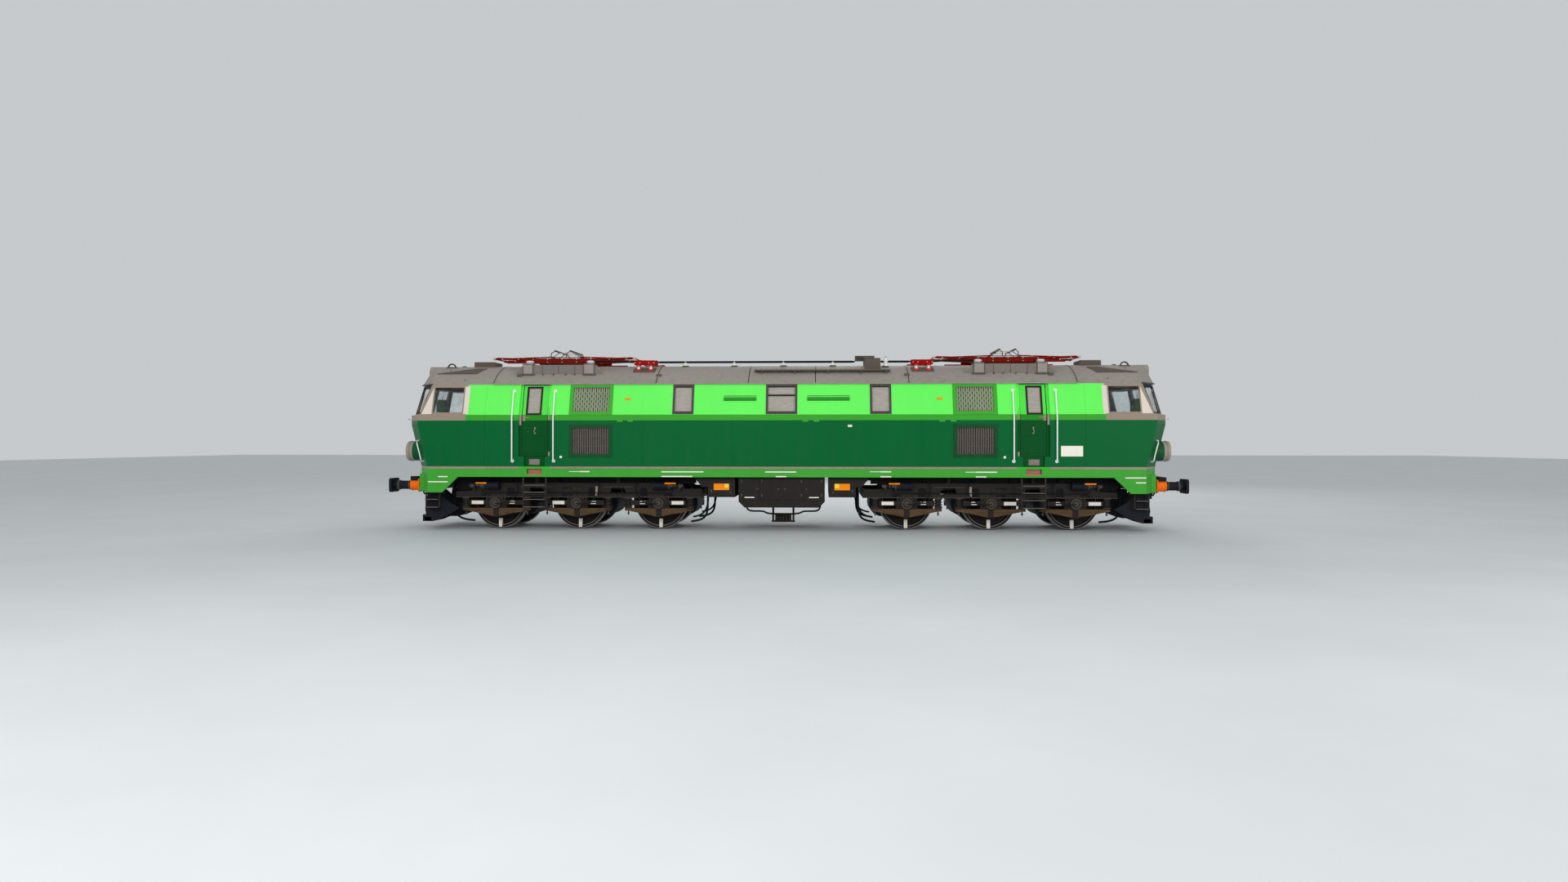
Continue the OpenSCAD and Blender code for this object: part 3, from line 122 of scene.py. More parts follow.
HERE = [mirror(1, 1)]
ENDS = [mirror(1, 1), mirror(-1, 1)]
SIDES = [mirror(1, 1), mirror(1, -1)]
CORNERS = [mirror(sx, sy) for sx in (1, -1) for sy in (1, -1)]


# ---------- mesh building ----------
def smooth(points, steps):
    """Catmull-Rom curve through the points"""
    p = [Vector(q) for q in points]
    p = [2 * p[0] - p[1]] + p + [2 * p[-1] - p[-2]]
    out = []
    for a, b, c, d in zip(p, p[1:], p[2:], p[3:]):
        for k in range(steps):
            t = k / steps
            out.append(0.5 * (2 * b + t * (c - a) + t * t * (2 * a - 5 * b + 4 * c - d)
                              + t ** 3 * (3 * b - a - 3 * c + d)))
    return out + [p[-2]]


def spokes(axis, sides):
    """Unit vectors round an axis"""
    axis = Vector(axis).normalized()
    u = axis.orthogonal().normalized()
    v = axis.cross(u)
    return [math.cos(a) * u + math.sin(a) * v for a in (2 * math.pi * k / sides for k in range(sides))]


class Shape:
    """One piece's mesh, put together from closed solids"""

    def __init__(self):
        self.bm = bmesh.new()

    def solid(self, rings, closed=False):
        """Joins rings of equally many points into a skin, capped at both ends or closed on itself"""
        rows = [[self.bm.verts.new(p) for p in ring] for ring in rings]
        n = len(rows[0])
        for a, b in zip(rows, rows[1:] + rows[:1] if closed else rows[1:]):
            for i in range(n):
                self.bm.faces.new((a[i], a[(i + 1) % n], b[(i + 1) % n], b[i]))
        if not closed:
            self.bm.faces.new(list(reversed(rows[0])))
            self.bm.faces.new(rows[-1])

    def prism(self, outline, along):
        along = Vector(along)
        ring = [Vector(p) for p in outline]
        self.solid([ring, [p + along for p in ring]])

    def block(self, low, high):
        (x0, y0, z0), (x1, y1, z1) = low, high
        self.prism([(x0, y0, z0), (x1, y0, z0), (x1, y1, z0), (x0, y1, z0)], (0, 0, z1 - z0))

    def pad(self, low, high, edge=0.004):
        """A block with its upper and lower edges broken, between two corners in any order along X and Y"""
        (x0, x1), (y0, y1) = (sorted(pair) for pair in zip(low[:2], high[:2]))
        z0, z1 = low[2], high[2]
        rings = []
        for inset, z in ((edge, z0), (0, z0 + edge), (0, z1 - edge), (edge, z1)):
            a, b, c, d = x0 + inset, x1 - inset, y0 + inset, y1 - inset
            rings.append([(a + edge, c, z), (b - edge, c, z), (b, c + edge, z), (b, d - edge, z),
                          (b - edge, d, z), (a + edge, d, z), (a, d - edge, z), (a, c + edge, z)])
        self.solid(rings)

    def turned(self, base, axis, profile, sides=16):
        """A turned solid: profile lists (radius, distance along axis) from one end to the other"""
        base, way, around = Vector(base), Vector(axis).normalized(), spokes(axis, sides)
        self.solid([[base + way * h + r * s for s in around] for r, h in profile])

    def rod(self, a, b, r, sides=12):
        a, b = Vector(a), Vector(b)
        self.turned(a, b - a, [(r, 0), (r, (b - a).length)], sides)

    def ring(self, centre, axis, inner, outer, depth, sides=32):
        """A flat ring from centre along axis"""
        centre, along = Vector(centre), Vector(axis).normalized() * depth
        self.solid([[centre + s * inner, centre + s * outer, centre + s * outer + along,
                     centre + s * inner + along]
                    for s in spokes(axis, sides)], closed=True)

    def tube(self, points, r, sides=8):
        """A round bar swept along the points without twist"""
        p = [Vector(q) for q in points]
        way = [(b - a).normalized() for a, b in zip(p, p[1:])]
        way = [way[0]] + [(a + b).normalized() for a, b in zip(way, way[1:])] + [way[-1]]
        u = way[0].orthogonal().normalized()
        rings = []
        for q, t in zip(p, way):
            u = (u - t * u.dot(t)).normalized()
            v = t.cross(u)
            rings.append([q + r * (math.cos(a) * u + math.sin(a) * v)
                          for a in (2 * math.pi * k / sides for k in range(sides))])
        self.solid(rings)

    def coil_along(self, a, b, radius, wire, turns, steps=10, sides=5):
        """A coil spring stretched between two points"""
        around = spokes(b - a, steps)
        count = turns * steps
        self.tube([a + (b - a) * k / count + radius * around[k % steps] for k in range(count + 1)], wire,
                  sides)

    def coil(self, foot, height, radius, wire, turns, steps=16, sides=6):
        """A coil spring that stands on foot, with closed ends"""
        count = int(turns * steps)
        points = []
        for k in range(count + 1):
            a = 2 * math.pi * k / steps
            t = min(max((k / count - 0.06) / 0.88, 0), 1)
            points.append(Vector(foot) + Vector((radius * math.cos(a), radius * math.sin(a),
                                                 wire + (height - 2 * wire) * t)))
        self.tube(points, wire, sides)

    def bolt(self, at, axis, r=0.012, h=0.010, sides=6):
        self.turned(at, axis, [(r, 0), (r, h * 0.7), (r * 0.75, h)], sides)

    def frame(self, outline, normal, width, depth):
        """A flat frame round an outline of points: width is measured inwards, depth along normal"""
        pts = [Vector(p) for p in outline]
        normal = Vector(normal).normalized()
        n = len(pts)
        inner = []
        for i in range(n):
            a = (pts[i] - pts[i - 1]).normalized()
            b = (pts[(i + 1) % n] - pts[i]).normalized()
            na, nb = normal.cross(a), normal.cross(b)
            inner.append(pts[i] + (na + nb) * width / (1 + na.dot(nb)))
        middle = sum(pts, Vector()) / n
        if (inner[0] - middle).length > (pts[0] - middle).length:
            inner = [2 * p - q for p, q in zip(pts, inner)]
        self.solid([[p, q, q + normal * depth, p + normal * depth] for p, q in zip(pts, inner)], closed=True)

    def make(self, name, look, copies=HERE, body="root"):
        """Copies the solids to their places, turns every face outwards and makes the piece"""
        whole = bmesh.new()
        base = bpy.data.meshes.new(name + "_one")
        self.bm.to_mesh(base)
        self.bm.free()
        for place in copies:
            part = base.copy()
            part.transform(place)
            if place.determinant() < 0:
                part.flip_normals()
            whole.from_mesh(part)
            bpy.data.meshes.remove(part)
        bpy.data.meshes.remove(base)
        bmesh.ops.recalc_face_normals(whole, faces=whole.faces)
        for f in whole.faces:
            f.smooth = True
        for e in whole.edges:
            e.smooth = e.is_manifold and e.calc_face_angle(0) < CREASE
        mesh = bpy.data.meshes.new(name)
        whole.to_mesh(mesh)
        whole.free()
        piece = bpy.data.objects.new(name, mesh)
        bpy.context.scene.collection.objects.link(piece)
        mesh.materials.append(LOOKS[look])
        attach(piece, body)
        return piece


def make_all(copies, *pieces):
    """Makes several pieces: name, shape and look of each"""
    for name, shape, look in pieces:
        shape.make(name, look, copies)


# ---------- materials ----------
DUST = "5A5047"
GLOSS = 0.16
GRAIN = 220.0                      # cells of the fine paint grain per metre
BEVEL = 0.008                      # how far an edge is rubbed


def srgb(code):
    """Linear colour of a written rrggbb"""
    out = []
    for i in (0, 2, 4):
        c = int(code[i:i + 2], 16) / 255
        out.append(c / 12.92 if c <= 0.04045 else ((c + 0.055) / 1.055) ** 2.4)
    return (*out, 1.0)


class Look:
    """A procedural material in the frame's own coordinates; a value is a number, a colour or an output"""

    def __init__(self, name):
        self.material = bpy.data.materials.new(name)
        self.material.use_nodes = True
        self.tree = self.material.node_tree
        self.tree.nodes.clear()
        out = self.tree.nodes.new("ShaderNodeOutputMaterial")
        self.shader = self.tree.nodes.new("ShaderNodeBsdfPrincipled")
        self.feed(self.shader.outputs[0], out.inputs[0])
        self.place = self.node("TexCoord", (), "Object")
        split = self.tree.nodes.new("ShaderNodeSeparateXYZ")
        self.feed(self.place, split.inputs[0])
        self.x, self.y, self.z = split.outputs
        self.ax = self.math("ABSOLUTE", self.x)
        self.ay = self.math("ABSOLUTE", self.y)

    def feed(self, value, socket):
        if isinstance(value, str):
            value = srgb(value)
        if hasattr(value, "is_output"):
            self.tree.links.new(value, socket)
        else:
            socket.default_value = value

    def node(self, kind, inputs, output=0, **settings):
        """Makes a node, fills its inputs by number or name, and gives one of its outputs"""
        node = self.tree.nodes.new("ShaderNode" + kind)
        for key, value in settings.items():
            setattr(node, key, value)
        for key, value in inputs.items() if isinstance(inputs, dict) else enumerate(inputs):
            self.feed(value, node.inputs[key])
        return node.outputs[output]

    def shade(self, **values):
        """Fills inputs of the shader, with _ for the spaces in their names"""
        for key, value in values.items():
            self.feed(value, self.shader.inputs[key.replace("_", " ")])

    def math(self, kind, first, *rest):
        """One operation on all the values, from left to right"""
        for value in rest or (0.0,):
            first = self.node("Math", (first, value), operation=kind)
        return first

    def plus(self, *values):
        return self.math("ADD", *values)

    def minus(self, *values):
        return self.math("SUBTRACT", *values)

    def times(self, *values):
        """A product, which is also where all of several masks hold"""
        return self.math("MULTIPLY", *values)

    def most(self, *values):
        """The largest, which is also where any of several masks holds"""
        return self.math("MAXIMUM", *values)

    def above(self, value, limit):
        return self.math("GREATER_THAN", value, limit)

    def below(self, value, limit):
        return self.math("LESS_THAN", value, limit)

    def between(self, value, low, high):
        return self.times(self.above(value, low), self.below(value, high))

    def away(self, value, middle):
        """Distance of a value from the middle"""
        return self.math("ABSOLUTE", self.minus(value, middle))

    def length(self, a, b):
        return self.math("SQRT", self.plus(self.math("POWER", a, 2.0), self.math("POWER", b, 2.0)))

    def ramp(self, value, a, b, low=0.0, high=1.0):
        """Runs from low to high while value runs from a to b"""
        return self.node("MapRange", (value, a, b, low, high))

    def mix(self, factor, a, b):
        return self.node("Mix", {0: factor, 6: a, 7: b}, 2, data_type="RGBA")

    def stretched(self, stretch):
        return self.node("VectorMath", (self.place, stretch), operation="MULTIPLY")

    def noise(self, scale, detail=3.0, stretch=None):
        at = self.stretched(stretch) if stretch else self.place
        return self.node("TexNoise", {"Vector": at, "Scale": scale, "Detail": detail, "Roughness": 0.55},
                         "Fac")

    def cells(self, scale):
        return self.node("TexVoronoi", {"Vector": self.place, "Scale": scale}, "Distance")

    def edges(self):
        """One along outer edges, nothing on flat faces"""
        bevel = self.node("Bevel", {"Radius": BEVEL}, samples=4)
        facing = self.node("NewGeometry", (), "Normal")
        straight = self.node("VectorMath", (bevel, facing), "Value", operation="DOT_PRODUCT")
        return self.ramp(straight, 0.97, 0.80)

    def weather(self, colour, smoothest=0.3, roughest=0.45, grime=0.2, tone=0.05, low=0.4, high=2.6,
                worn=None,
                dust=DUST, gloss=GLOSS, bump=0.15):
        """Slow tone changes, grime that runs down between two heights, rubbed edges and a fine grain"""
        fine = self.noise(34.0, 2.0)
        shade = self.plus(self.ramp(self.noise(0.7, 4.0), 0.3, 0.7, 1 - tone, 1 + tone),
                          self.ramp(fine, 0.3, 0.7, -tone * 0.4, tone * 0.4))
        if isinstance(colour, str):
            colour = srgb(colour)[:3]
        colour = self.node("VectorMath", {0: colour, "Scale": shade}, operation="SCALE")
        runs = self.ramp(self.noise(2.6, 5.0, (3.0, 3.0, 0.30)), 0.48, 0.74)
        specks = self.ramp(self.noise(9.0, 6.0), 0.52, 0.78)
        dirt = self.times(self.most(runs, specks), self.ramp(self.z, high, low, 0.25, 1.0))
        colour = self.mix(self.times(dirt, grime), colour, dust)
        roughness = self.plus(self.ramp(fine, 0.3, 0.7, smoothest, roughest), self.times(dirt, 0.18))
        if worn:
            rub = self.times(self.edges(), self.ramp(self.noise(26.0, 3.0), 0.42, 0.62))
            colour = self.mix(self.times(rub, 0.7), colour, worn)
        self.shade(Specular_IOR_Level=gloss, Base_Color=colour, Roughness=roughness)
        self.relief([(self.noise(GRAIN, 2.0), 0.004 * bump), (self.noise(1.6, 2.0), 0.004)])
        return self.material

    def relief(self, layers):
        """Bump from heights in metres, laid over each other"""
        normal = None
        for height, depth in layers:
            inputs = {"Strength": 0.6, "Distance": depth, "Height": height}
            if normal:
                inputs["Normal"] = normal
            normal = self.node("Bump", inputs)
        self.shade(Normal=normal)


def livery(name, dark, middle, light):
    """Dark green below the stripe, mid green on it, light green over the waist"""
    look = Look(name)
    c = look.mix(look.above(look.z, STRIPE), dark, middle)
    return look, look.mix(look.above(look.z, WAIST), c, light)


def lean(look, inset=0.0):
    """Half-width of the leaning wall at each height, less an inset"""
    return look.ramp(look.z, WAIST, EAVE, HALF_W - inset, HALF_W - LEAN - inset)


def side_wall_look():
    look, c = livery("livery_wall", "006431", "3FA632", "6CFA62")
    # Darker greens in the recess round each door: painted shade of the recess
    recess_shade = look.mix(look.above(look.z, WAIST), "00501F", "57E34F")
    recess_shade = look.mix(look.between(look.z, STRIPE, WAIST), recess_shade, "2A8F20")
    inner = look.ramp(look.z, WAIST, EAVE, RECESS[0], RECESS[0] + 0.22)
    face = lean(look, 0.008)
    recess = look.times(look.above(look.ax, inner), look.below(look.ax, RECESS[1]), look.below(look.ay, face),
                        look.above(look.z, SILL + 0.005))
    c = look.mix(recess, c, recess_shade)
    c = look.mix(look.below(look.ay, look.minus(face, RECESS_D + 0.045)), c, "9C9C92")
    return look.weather(c, 0.30, 0.42, 0.10, 0.03, gloss=0.07, bump=0.1)


def door_look():
    # The door leaf takes the darker greens of the recess: painted shade
    look, c = livery("livery_door_shaded", "00501F", "2A8F20", "57E34F")
    c = look.mix(look.below(look.ay, look.minus(lean(look), RECESS_D + 0.04)), c, "9C9C92")
    return look.weather(c, 0.30, 0.42, 0.12, 0.04, gloss=0.07, bump=0.1)


def cab_look():
    """Nose and cab: dark green below, beige belt, cream pillars, beige window surrounds, grey inside below
    the waist and dark blue painted shade inside above it
    """
    look, c = livery("livery_cab", "006431", "3FA632", "6CFA62")
    c = look.mix(look.times(look.above(look.ax, 7.57), look.above(look.z, STRIPE)), c, "9C8C7C")
    leaning = look.plus(look.ax, look.ramp(look.z, WAIST, EAVE, 0.0, 0.275))
    rear = look.between(look.ax, 7.51, 7.64)
    front = look.times(look.between(leaning, 8.40, 8.65), look.above(look.ay, 1.15))
    glazed = look.between(look.z, WAIST + 0.02, EAVE - 0.045)
    c = look.mix(look.times(glazed, look.most(rear, front)), c, "E5D8CB")
    upper = look.ramp(look.z, WAIST, EAVE, NOSE_X - 0.08, NOSE_X - 0.275)
    lower = look.ramp(look.z, SILL, RAIL + 2.52, NOSE_X - 0.25, NOSE_X)
    tip = look.math("MINIMUM", upper, lower)
    corner = look.plus(look.times(look.ay, 0.4 / 0.6), look.minus(look.ax, look.minus(tip, -0.6)))
    shell = look.most(look.above(look.ay, look.minus(lean(look), 0.05)),
                      look.above(look.ax, look.minus(tip, 0.05)), look.above(corner, -0.065))
    # Inside faces above the waist are dark blue: painted shade seen through the glass
    inner = look.mix(look.above(look.z, WAIST), "8E8A7E", "33446A")
    c = look.mix(look.minus(1.0, shell), c, inner)
    return look.weather(c, 0.30, 0.42, 0.10, 0.03, gloss=0.07, bump=0.1)


def skirt_look():
    """Skirt and aprons green with a grey line, the underframe behind them blue-black as painted shade"""
    look = Look("livery_skirt")
    over = look.above(look.z, LINE)
    c = look.mix(over, "3FA632", "A08D80")
    c = look.mix(look.times(look.between(look.ax, *RECESS), over), c, "3FB030")
    facet = look.plus(look.times(look.ax, 0.8321), look.times(look.ay, 0.5547))
    outer = look.most(look.above(look.ay, HALF_W - 0.03), look.above(look.ax, FOOT_X - 0.03),
                      look.above(facet, 7.866))
    # Faces behind the outer skin are blue-black: painted shade under the body
    c = look.mix(outer, "10151F", c)
    c = look.mix(look.times(look.above(look.z, RAIL + 1.70), look.below(look.ay, 1.42)), c, "55524C")
    return look.weather(c, 0.35, 0.5, 0.16, 0.04, 0.8, 1.8)


def axlebox_look():
    """Brown leaf beams under dark boxes"""
    look = Look("axlebox_steel")
    brown = look.mix(look.ramp(look.noise(3.0, 3.0, (1.0, 1.0, 6.0)), 0.35, 0.65), "3A2614", "6B5238")
    c = look.mix(look.below(look.z, RAIL + 0.492), "2A2622", brown)
    return look.weather(c, 0.5, 0.7, 0.35, 0.12, 0.2, 1.2, "6A5F55", "3C3128")


def wheel_look():
    """Dark painted wheel with a bright tread"""
    look = Look("wheel_steel")
    look.shade(Metallic=0.55)
    along = look.away(look.ax, BOGIE_X)
    dx = look.minus(along, look.times(look.above(along, PITCH / 2), PITCH))
    radius = look.length(dx, look.minus(look.z, AXLE_Z))
    dark = look.mix(look.ramp(look.noise(14.0, 4.0), 0.3, 0.7), "141212", "26221F")
    c = look.mix(look.above(radius, 0.617), dark, "8D8A86")
    return look.weather(c, 0.38, 0.6, 0.25, 0.1, 0.1, 1.2, "7B756E", "3B3026")


def grille_look():
    """Pale slats above and brown-grey slats below, in green rims"""
    look = Look("grille_slats")
    low = look.below(look.z, WAIST - 0.1)
    rim = look.most(look.above(look.away(look.ax, GRILLE_X), GRILLE_W / 2 - 0.062),
                    look.above(look.z, EAVE - 0.075), look.between(look.z, WAIST - 0.02, WAIST + 0.08),
                    look.below(look.z, RAIL + 1.825), look.between(look.z, RAIL + 2.425, WAIST - 0.05))
    c = look.mix(rim, look.mix(low, "9A8C88", "5F5550"), look.mix(low, "3DAA2A", "004A20"))
    return look.weather(c, 0.42, 0.58, 0.35, 0.08, 1.5, 4.0, "B5ADA6")


def glass_look():
    """Glass with a faint film of dust"""
    look = Look("cab_glass")
    look.shade(Transmission_Weight=1.0, IOR=1.45,
               Roughness=look.ramp(look.noise(3.0, 5.0, (1.0, 1.0, 0.5)), 0.45, 0.8, 0.03, 0.13),
               Base_Color=look.mix(look.ramp(look.noise(6.0, 3.0), 0.3, 0.8), "DDE7E6", "FFFFFF"))
    look.relief([(look.noise(2.0, 2.0), 0.002)])
    return look.material


def blind_look():
    """Frosted pane with a pale blind behind it"""
    look = Look("window_blind")
    look.shade(Coat_Weight=0.35, Coat_Roughness=0.04)
    c = look.mix(look.ramp(look.noise(5.0, 2.0, (1.0, 1.0, 6.0)), 0.35, 0.65), "A29A90", "AEA69C")
    return look.weather(c, 0.35, 0.5, 0.12, 0.03, 2.0, 4.0)


def lamp_glass_look():
    """Fluted lens of a headlight"""
    look = Look("lens_glass")
    flutes = look.math("SINE", look.times(look.y, 300.0))
    look.shade(Transmission_Weight=0.75, IOR=1.5, Coat_Weight=0.6,
               Base_Color=look.mix(look.ramp(flutes, -1.0, 1.0), "D8DCDA", "F4F6F2"),
               Roughness=look.ramp(look.noise(40.0, 2.0), 0.3, 0.7, 0.05, 0.16))
    look.relief([(flutes, 0.003)])
    return look.material


def seat_look():
    """Green imitation leather with a fine pebble grain"""
    look = Look("seat_leather")
    c = look.mix(look.ramp(look.cells(90.0), 0.0, 0.5), "17462A", "24703A")
    look.weather(c, 0.35, 0.5, 0.2, 0.08, 1.8, 3.4)
    look.relief([(look.cells(110.0), 0.0008), (look.noise(9.0, 2.0), 0.004)])
    return look.material


def reflector_look():
    look = Look("lamp_reflector")
    look.shade(Metallic=1.0, Base_Color=look.mix(look.noise(20.0), "D8D8D4", "F0F0EC"),
               Roughness=look.ramp(look.noise(60.0, 2.0), 0.3, 0.7, 0.08, 0.2))
    return look.material


def roof_look():
    """Roof sheets, with the skirts of the pods darker between their pedestals"""
    look = Look("roof_and_pods")
    proud = look.above(look.length(look.y, look.minus(look.z, ROOF_AXIS)), ROOF_R + 0.006)
    along = look.away(look.ax, PANTO_X)
    beside = look.above(look.away(along, 0.75), 0.122)
    pod = look.times(proud, beside, look.between(look.ay, 0.60, 0.962), look.below(along, 1.12))
    return look.weather(look.mix(pod, "9A928A", "7D776F"), 0.55, 0.7, 0.28, 0.05, 3.4, 4.1, dust="5E564E")


def ladder_look():
    """Ladders and corner steps: near black, with rubbed edges; the step in the skirt is pink"""
    look = Look("ladder_paint")
    c = look.mix(look.above(look.z, SKIRT), "2C2824", "B87063")
    c = look.mix(look.above(look.ax, 7.0), c, "332D28")
    return look.weather(c, 0.5, 0.7, 0.3, 0.1, 0.4, 1.4, "6A635C", "4A3D31")


def lamp_look():
    """Headlight buckets: dark green at the nose, beige at the front, like the top lamps"""
    look = Look("lamp_paint")
    beige = look.most(look.above(look.ax, 9.06), look.above(look.z, EAVE))
    return look.weather(look.mix(beige, "0A5530", "A59A8C"), 0.3, 0.45, 0.2, 0.05, 1.4, 4.2, "C8BFB2")


def stage_look():
    """Matt floor paint that shows as pale as it is written in the picture and in reflections"""
    look = Look("studio_paint")
    look.shade(Base_Color=look.mix(look.ramp(look.noise(0.35), 0.3, 0.7), "CDD1D2", "D3D6D7"),
               Roughness=look.ramp(look.noise(3.0, 2.0), 0.3, 0.7, 0.7, 0.9))
    return look.material


# plain paints: name, colour, least and most roughness, grime, tone, heights where grime is thick and thin,
# colour of rubbed edges, colour of dust, gloss, bump
PAINTS = {
    "roof": ("roof_paint", "9A928A", 0.55, 0.7, 0.30, 0.05, 3.4, 4.1, None, "5E564E"),
    "pod": ("pod_paint", "77716A", 0.55, 0.7, 0.28, 0.05, 3.4, 4.1, None, "544D46"),
    "trim": ("trim_paint", "61584E", 0.5, 0.65, 0.2, 0.05, 3.4, 4.4, "8C8479", DUST, 0.08),
    "belt": ("belt_paint", "9C8C7C", 0.35, 0.5, 0.18, 0.05, 2.4, 3.6),
    "livery_dark": ("dark_livery_paint", "006431", 0.30, 0.42, 0.12, 0.03, 0.4, 2.6, None, DUST, 0.07),
    "livery_light": ("light_livery_paint", "6CFA62", 0.30, 0.42, 0.08, 0.03, 0.4, 2.6, None, DUST, 0.07),
    "dark_green": ("dark_green_paint", "004A20", 0.32, 0.45, 0.15, 0.05, 0.4, 2.6, "3C7A4C"),
    "mid_green": ("mid_green_paint", "3DAA2A", 0.32, 0.45, 0.12, 0.05, 0.4, 2.6, "8CCB7C"),
    "bar_green": ("bar_green_paint", "2F8F2A", 0.32, 0.45, 0.2, 0.05, 2.8, 3.6, "8CCB7C"),
    "gear": ("running_gear_paint", "24201D", 0.5, 0.7, 0.35, 0.12, 0.2, 1.5, "5E564D", "42362B"),
    "edge": ("worn_steel_paint", "4A443E", 0.45, 0.65, 0.35, 0.12, 0.2, 1.5, "8A8178", "3A3028"),
    "navy": ("blue_black_paint", "10151F", 0.45, 0.65, 0.35, 0.10, 0.1, 1.4, "4C5158", "3B342D"),
    "rubber": ("hose_rubber", "12151A", 0.6, 0.8, 0.35, 0.05, 0.1, 1.4, None, "3E3730", GLOSS, 0.3),
    "leaf": ("leaf_steel", "5A442D", 0.5, 0.7, 0.45, 0.15, 0.2, 0.7, "8B7760", "2D1D0E"),
    "spring": ("spring_paint", "1D1B1C", 0.4, 0.6, 0.4, 0.1, 0.3, 1.0, "77706A", "45382C"),
    "orange": ("safety_orange_paint", "FF7200", 0.35, 0.5, 0.22, 0.06, 0.7, 1.4, "7A3A10"),
    "plate_orange": ("orange_plate", "FF9000", 0.3, 0.45, 0.12, 0.05, 0.8, 3.4, "8A5A20"),
    "plate_yellow": ("yellow_plate", "FFE14A", 0.3, 0.45, 0.12, 0.04, 0.8, 1.4),
    "plate_white": ("white_plate", "F6F1E2", 0.3, 0.45, 0.10, 0.03, 1.0, 2.2),
    "mark_white": ("white_mark", "EFE9DC", 0.5, 0.7, 0.30, 0.10, 0.1, 1.0, None, "6A5B4A"),
    "white": ("rail_enamel", "F4F4F2", 0.22, 0.35, 0.10, 0.02, 1.4, 3.4, "8E8A84"),
    "porcelain": ("glazed_porcelain", "F4F4F0", 0.12, 0.22, 0.05, 0.05, 3.8, 4.4, None, "7A6F63"),
    "flange_red": ("flange_red_paint", "D92020", 0.35, 0.5, 0.2, 0.05, 3.6, 4.4, "6A2A20"),
    "signal_red": ("signal_red_paint", "980000", 0.35, 0.5, 0.07, 0.05, 3.6, 4.4, "5A2018", DUST, 0.06),
    "arm_red": ("arm_red_paint", "7A0F00", 0.4, 0.55, 0.2, 0.08, 3.8, 4.6, "8E4A38", "3A1A10", 0.06),
    "carbon": ("collector_carbon", "4A4643", 0.4, 0.6, 0.3, 0.12, 3.8, 4.6, "8C857C"),
    "brass": ("knuckle_metal", "C9B9A2", 0.35, 0.55, 0.3, 0.1, 3.8, 4.6, "EDE3D2"),
    "inside": ("inside_paint", "8E8A7E", 0.45, 0.6, 0.15, 0.04, 1.8, 3.5),
    "desk": ("desk_paint", "2A7A3A", 0.4, 0.55, 0.15, 0.05, 1.8, 3.5, "6FA070"),
    "console": ("console_paint", "2A8C3C", 0.4, 0.55, 0.12, 0.05, 1.8, 3.5, "7FB080"),
    # slate blue for the cab ceilings: painted shade seen through the glass
    "ceiling_shade": ("ceiling_shade_paint", "2B3A5C", 0.35, 0.5, 0.12, 0.05, 2.7, 3.5),
    "visor": ("visor_amber", "A85A14", 0.25, 0.4, 0.1, 0.06, 3.2, 3.5),
    "gasket": ("window_rubber", "4F4548", 0.5, 0.7, 0.2, 0.06, 2.7, 3.5),
    "gasket_dark": ("window_rubber_dark", "241F20", 0.5, 0.7, 0.2, 0.06, 2.7, 3.5),
    "step": ("step_pink_paint", "B87063", 0.45, 0.6, 0.3, 0.08, 0.6, 1.6, "6F655B"),
    "tread": ("tread_plate", "8C7F78", 0.4, 0.6, 0.3, 0.08, 1.4, 2.0, "B5ADA6"),
    "shadow": ("pocket_shadow", "0B0C10", 0.6, 0.8, 0.2, 0.1, 0.2, 1.5),
    "rim": ("rim_steel", "8D8A86", 0.35, 0.5, 0.2, 0.08, 0.1, 1.2),
    "rung": ("rung_tread", "6A635C", 0.5, 0.7, 0.3, 0.1, 0.4, 1.4),
    "tail": ("tail_lamp_red", "C01414", 0.08, 0.16, 0.1, 0.05, 1.2, 2.4),
}
LOOKS = {
    "wall": side_wall_look(), "door": door_look(), "cab": cab_look(), "skirt": skirt_look(),
    "grille": grille_look(), "axlebox": axlebox_look(), "wheel": wheel_look(), "glass": glass_look(),
    "blind": blind_look(), "lens": lamp_glass_look(), "ladder": ladder_look(), "lamp": lamp_look(),
    "seat": seat_look(), "roof_panels": roof_look(), "reflector": reflector_look(), "stage": stage_look()}
for key, (name, code, *how) in PAINTS.items():
    LOOKS[key] = Look(name).weather(code, *how)


def dress():
    """Gives every CAD node its material"""
    named = {
        "underframe": "skirt", "side_walls": "wall", "cab_shells": "cab", "cab_roofs": "roof",
        "roof_panels": "roof_panels", "bulkheads": "inside", "cab_glazing": "glass", "side_windows": "blind",
        "side_grilles": "grille", "handrails": "white", "headlights": "lamp", "buffer_casings": "orange",
        "buffer_heads": "navy", "couplers": "gear", "brake_hoses": "rubber", "rail_guards": "navy",
        "cab_steps": "ladder", "underfloor_boxes": "gear", "sand_pipes": "rubber", "busbar": "rubber",
        "insulators": "porcelain", "disconnectors": "signal_red", "breaker": "trim", "roof_walkways": "trim",
        "lifting_rings": "edge", "driver_desks": "desk", "driver_seats": "seat", "machinery": "inside",
        "pantograph_bases": "arm_red", "bogie_frame": "gear", "axleboxes": "axlebox",
        "traction_motors": "navy", "brake_gear": "gear", "wheelset": "wheel", "cab_door": "door",
        "lower_arm": "arm_red", "upper_arm": "arm_red", "pantograph_head": "carbon"}
    for node, piece in NODES.items():
        stem = node if node in named else next(k for k in named if node.startswith(k))
        piece.data.materials.clear()
        piece.data.materials.append(LOOKS[named[stem]])


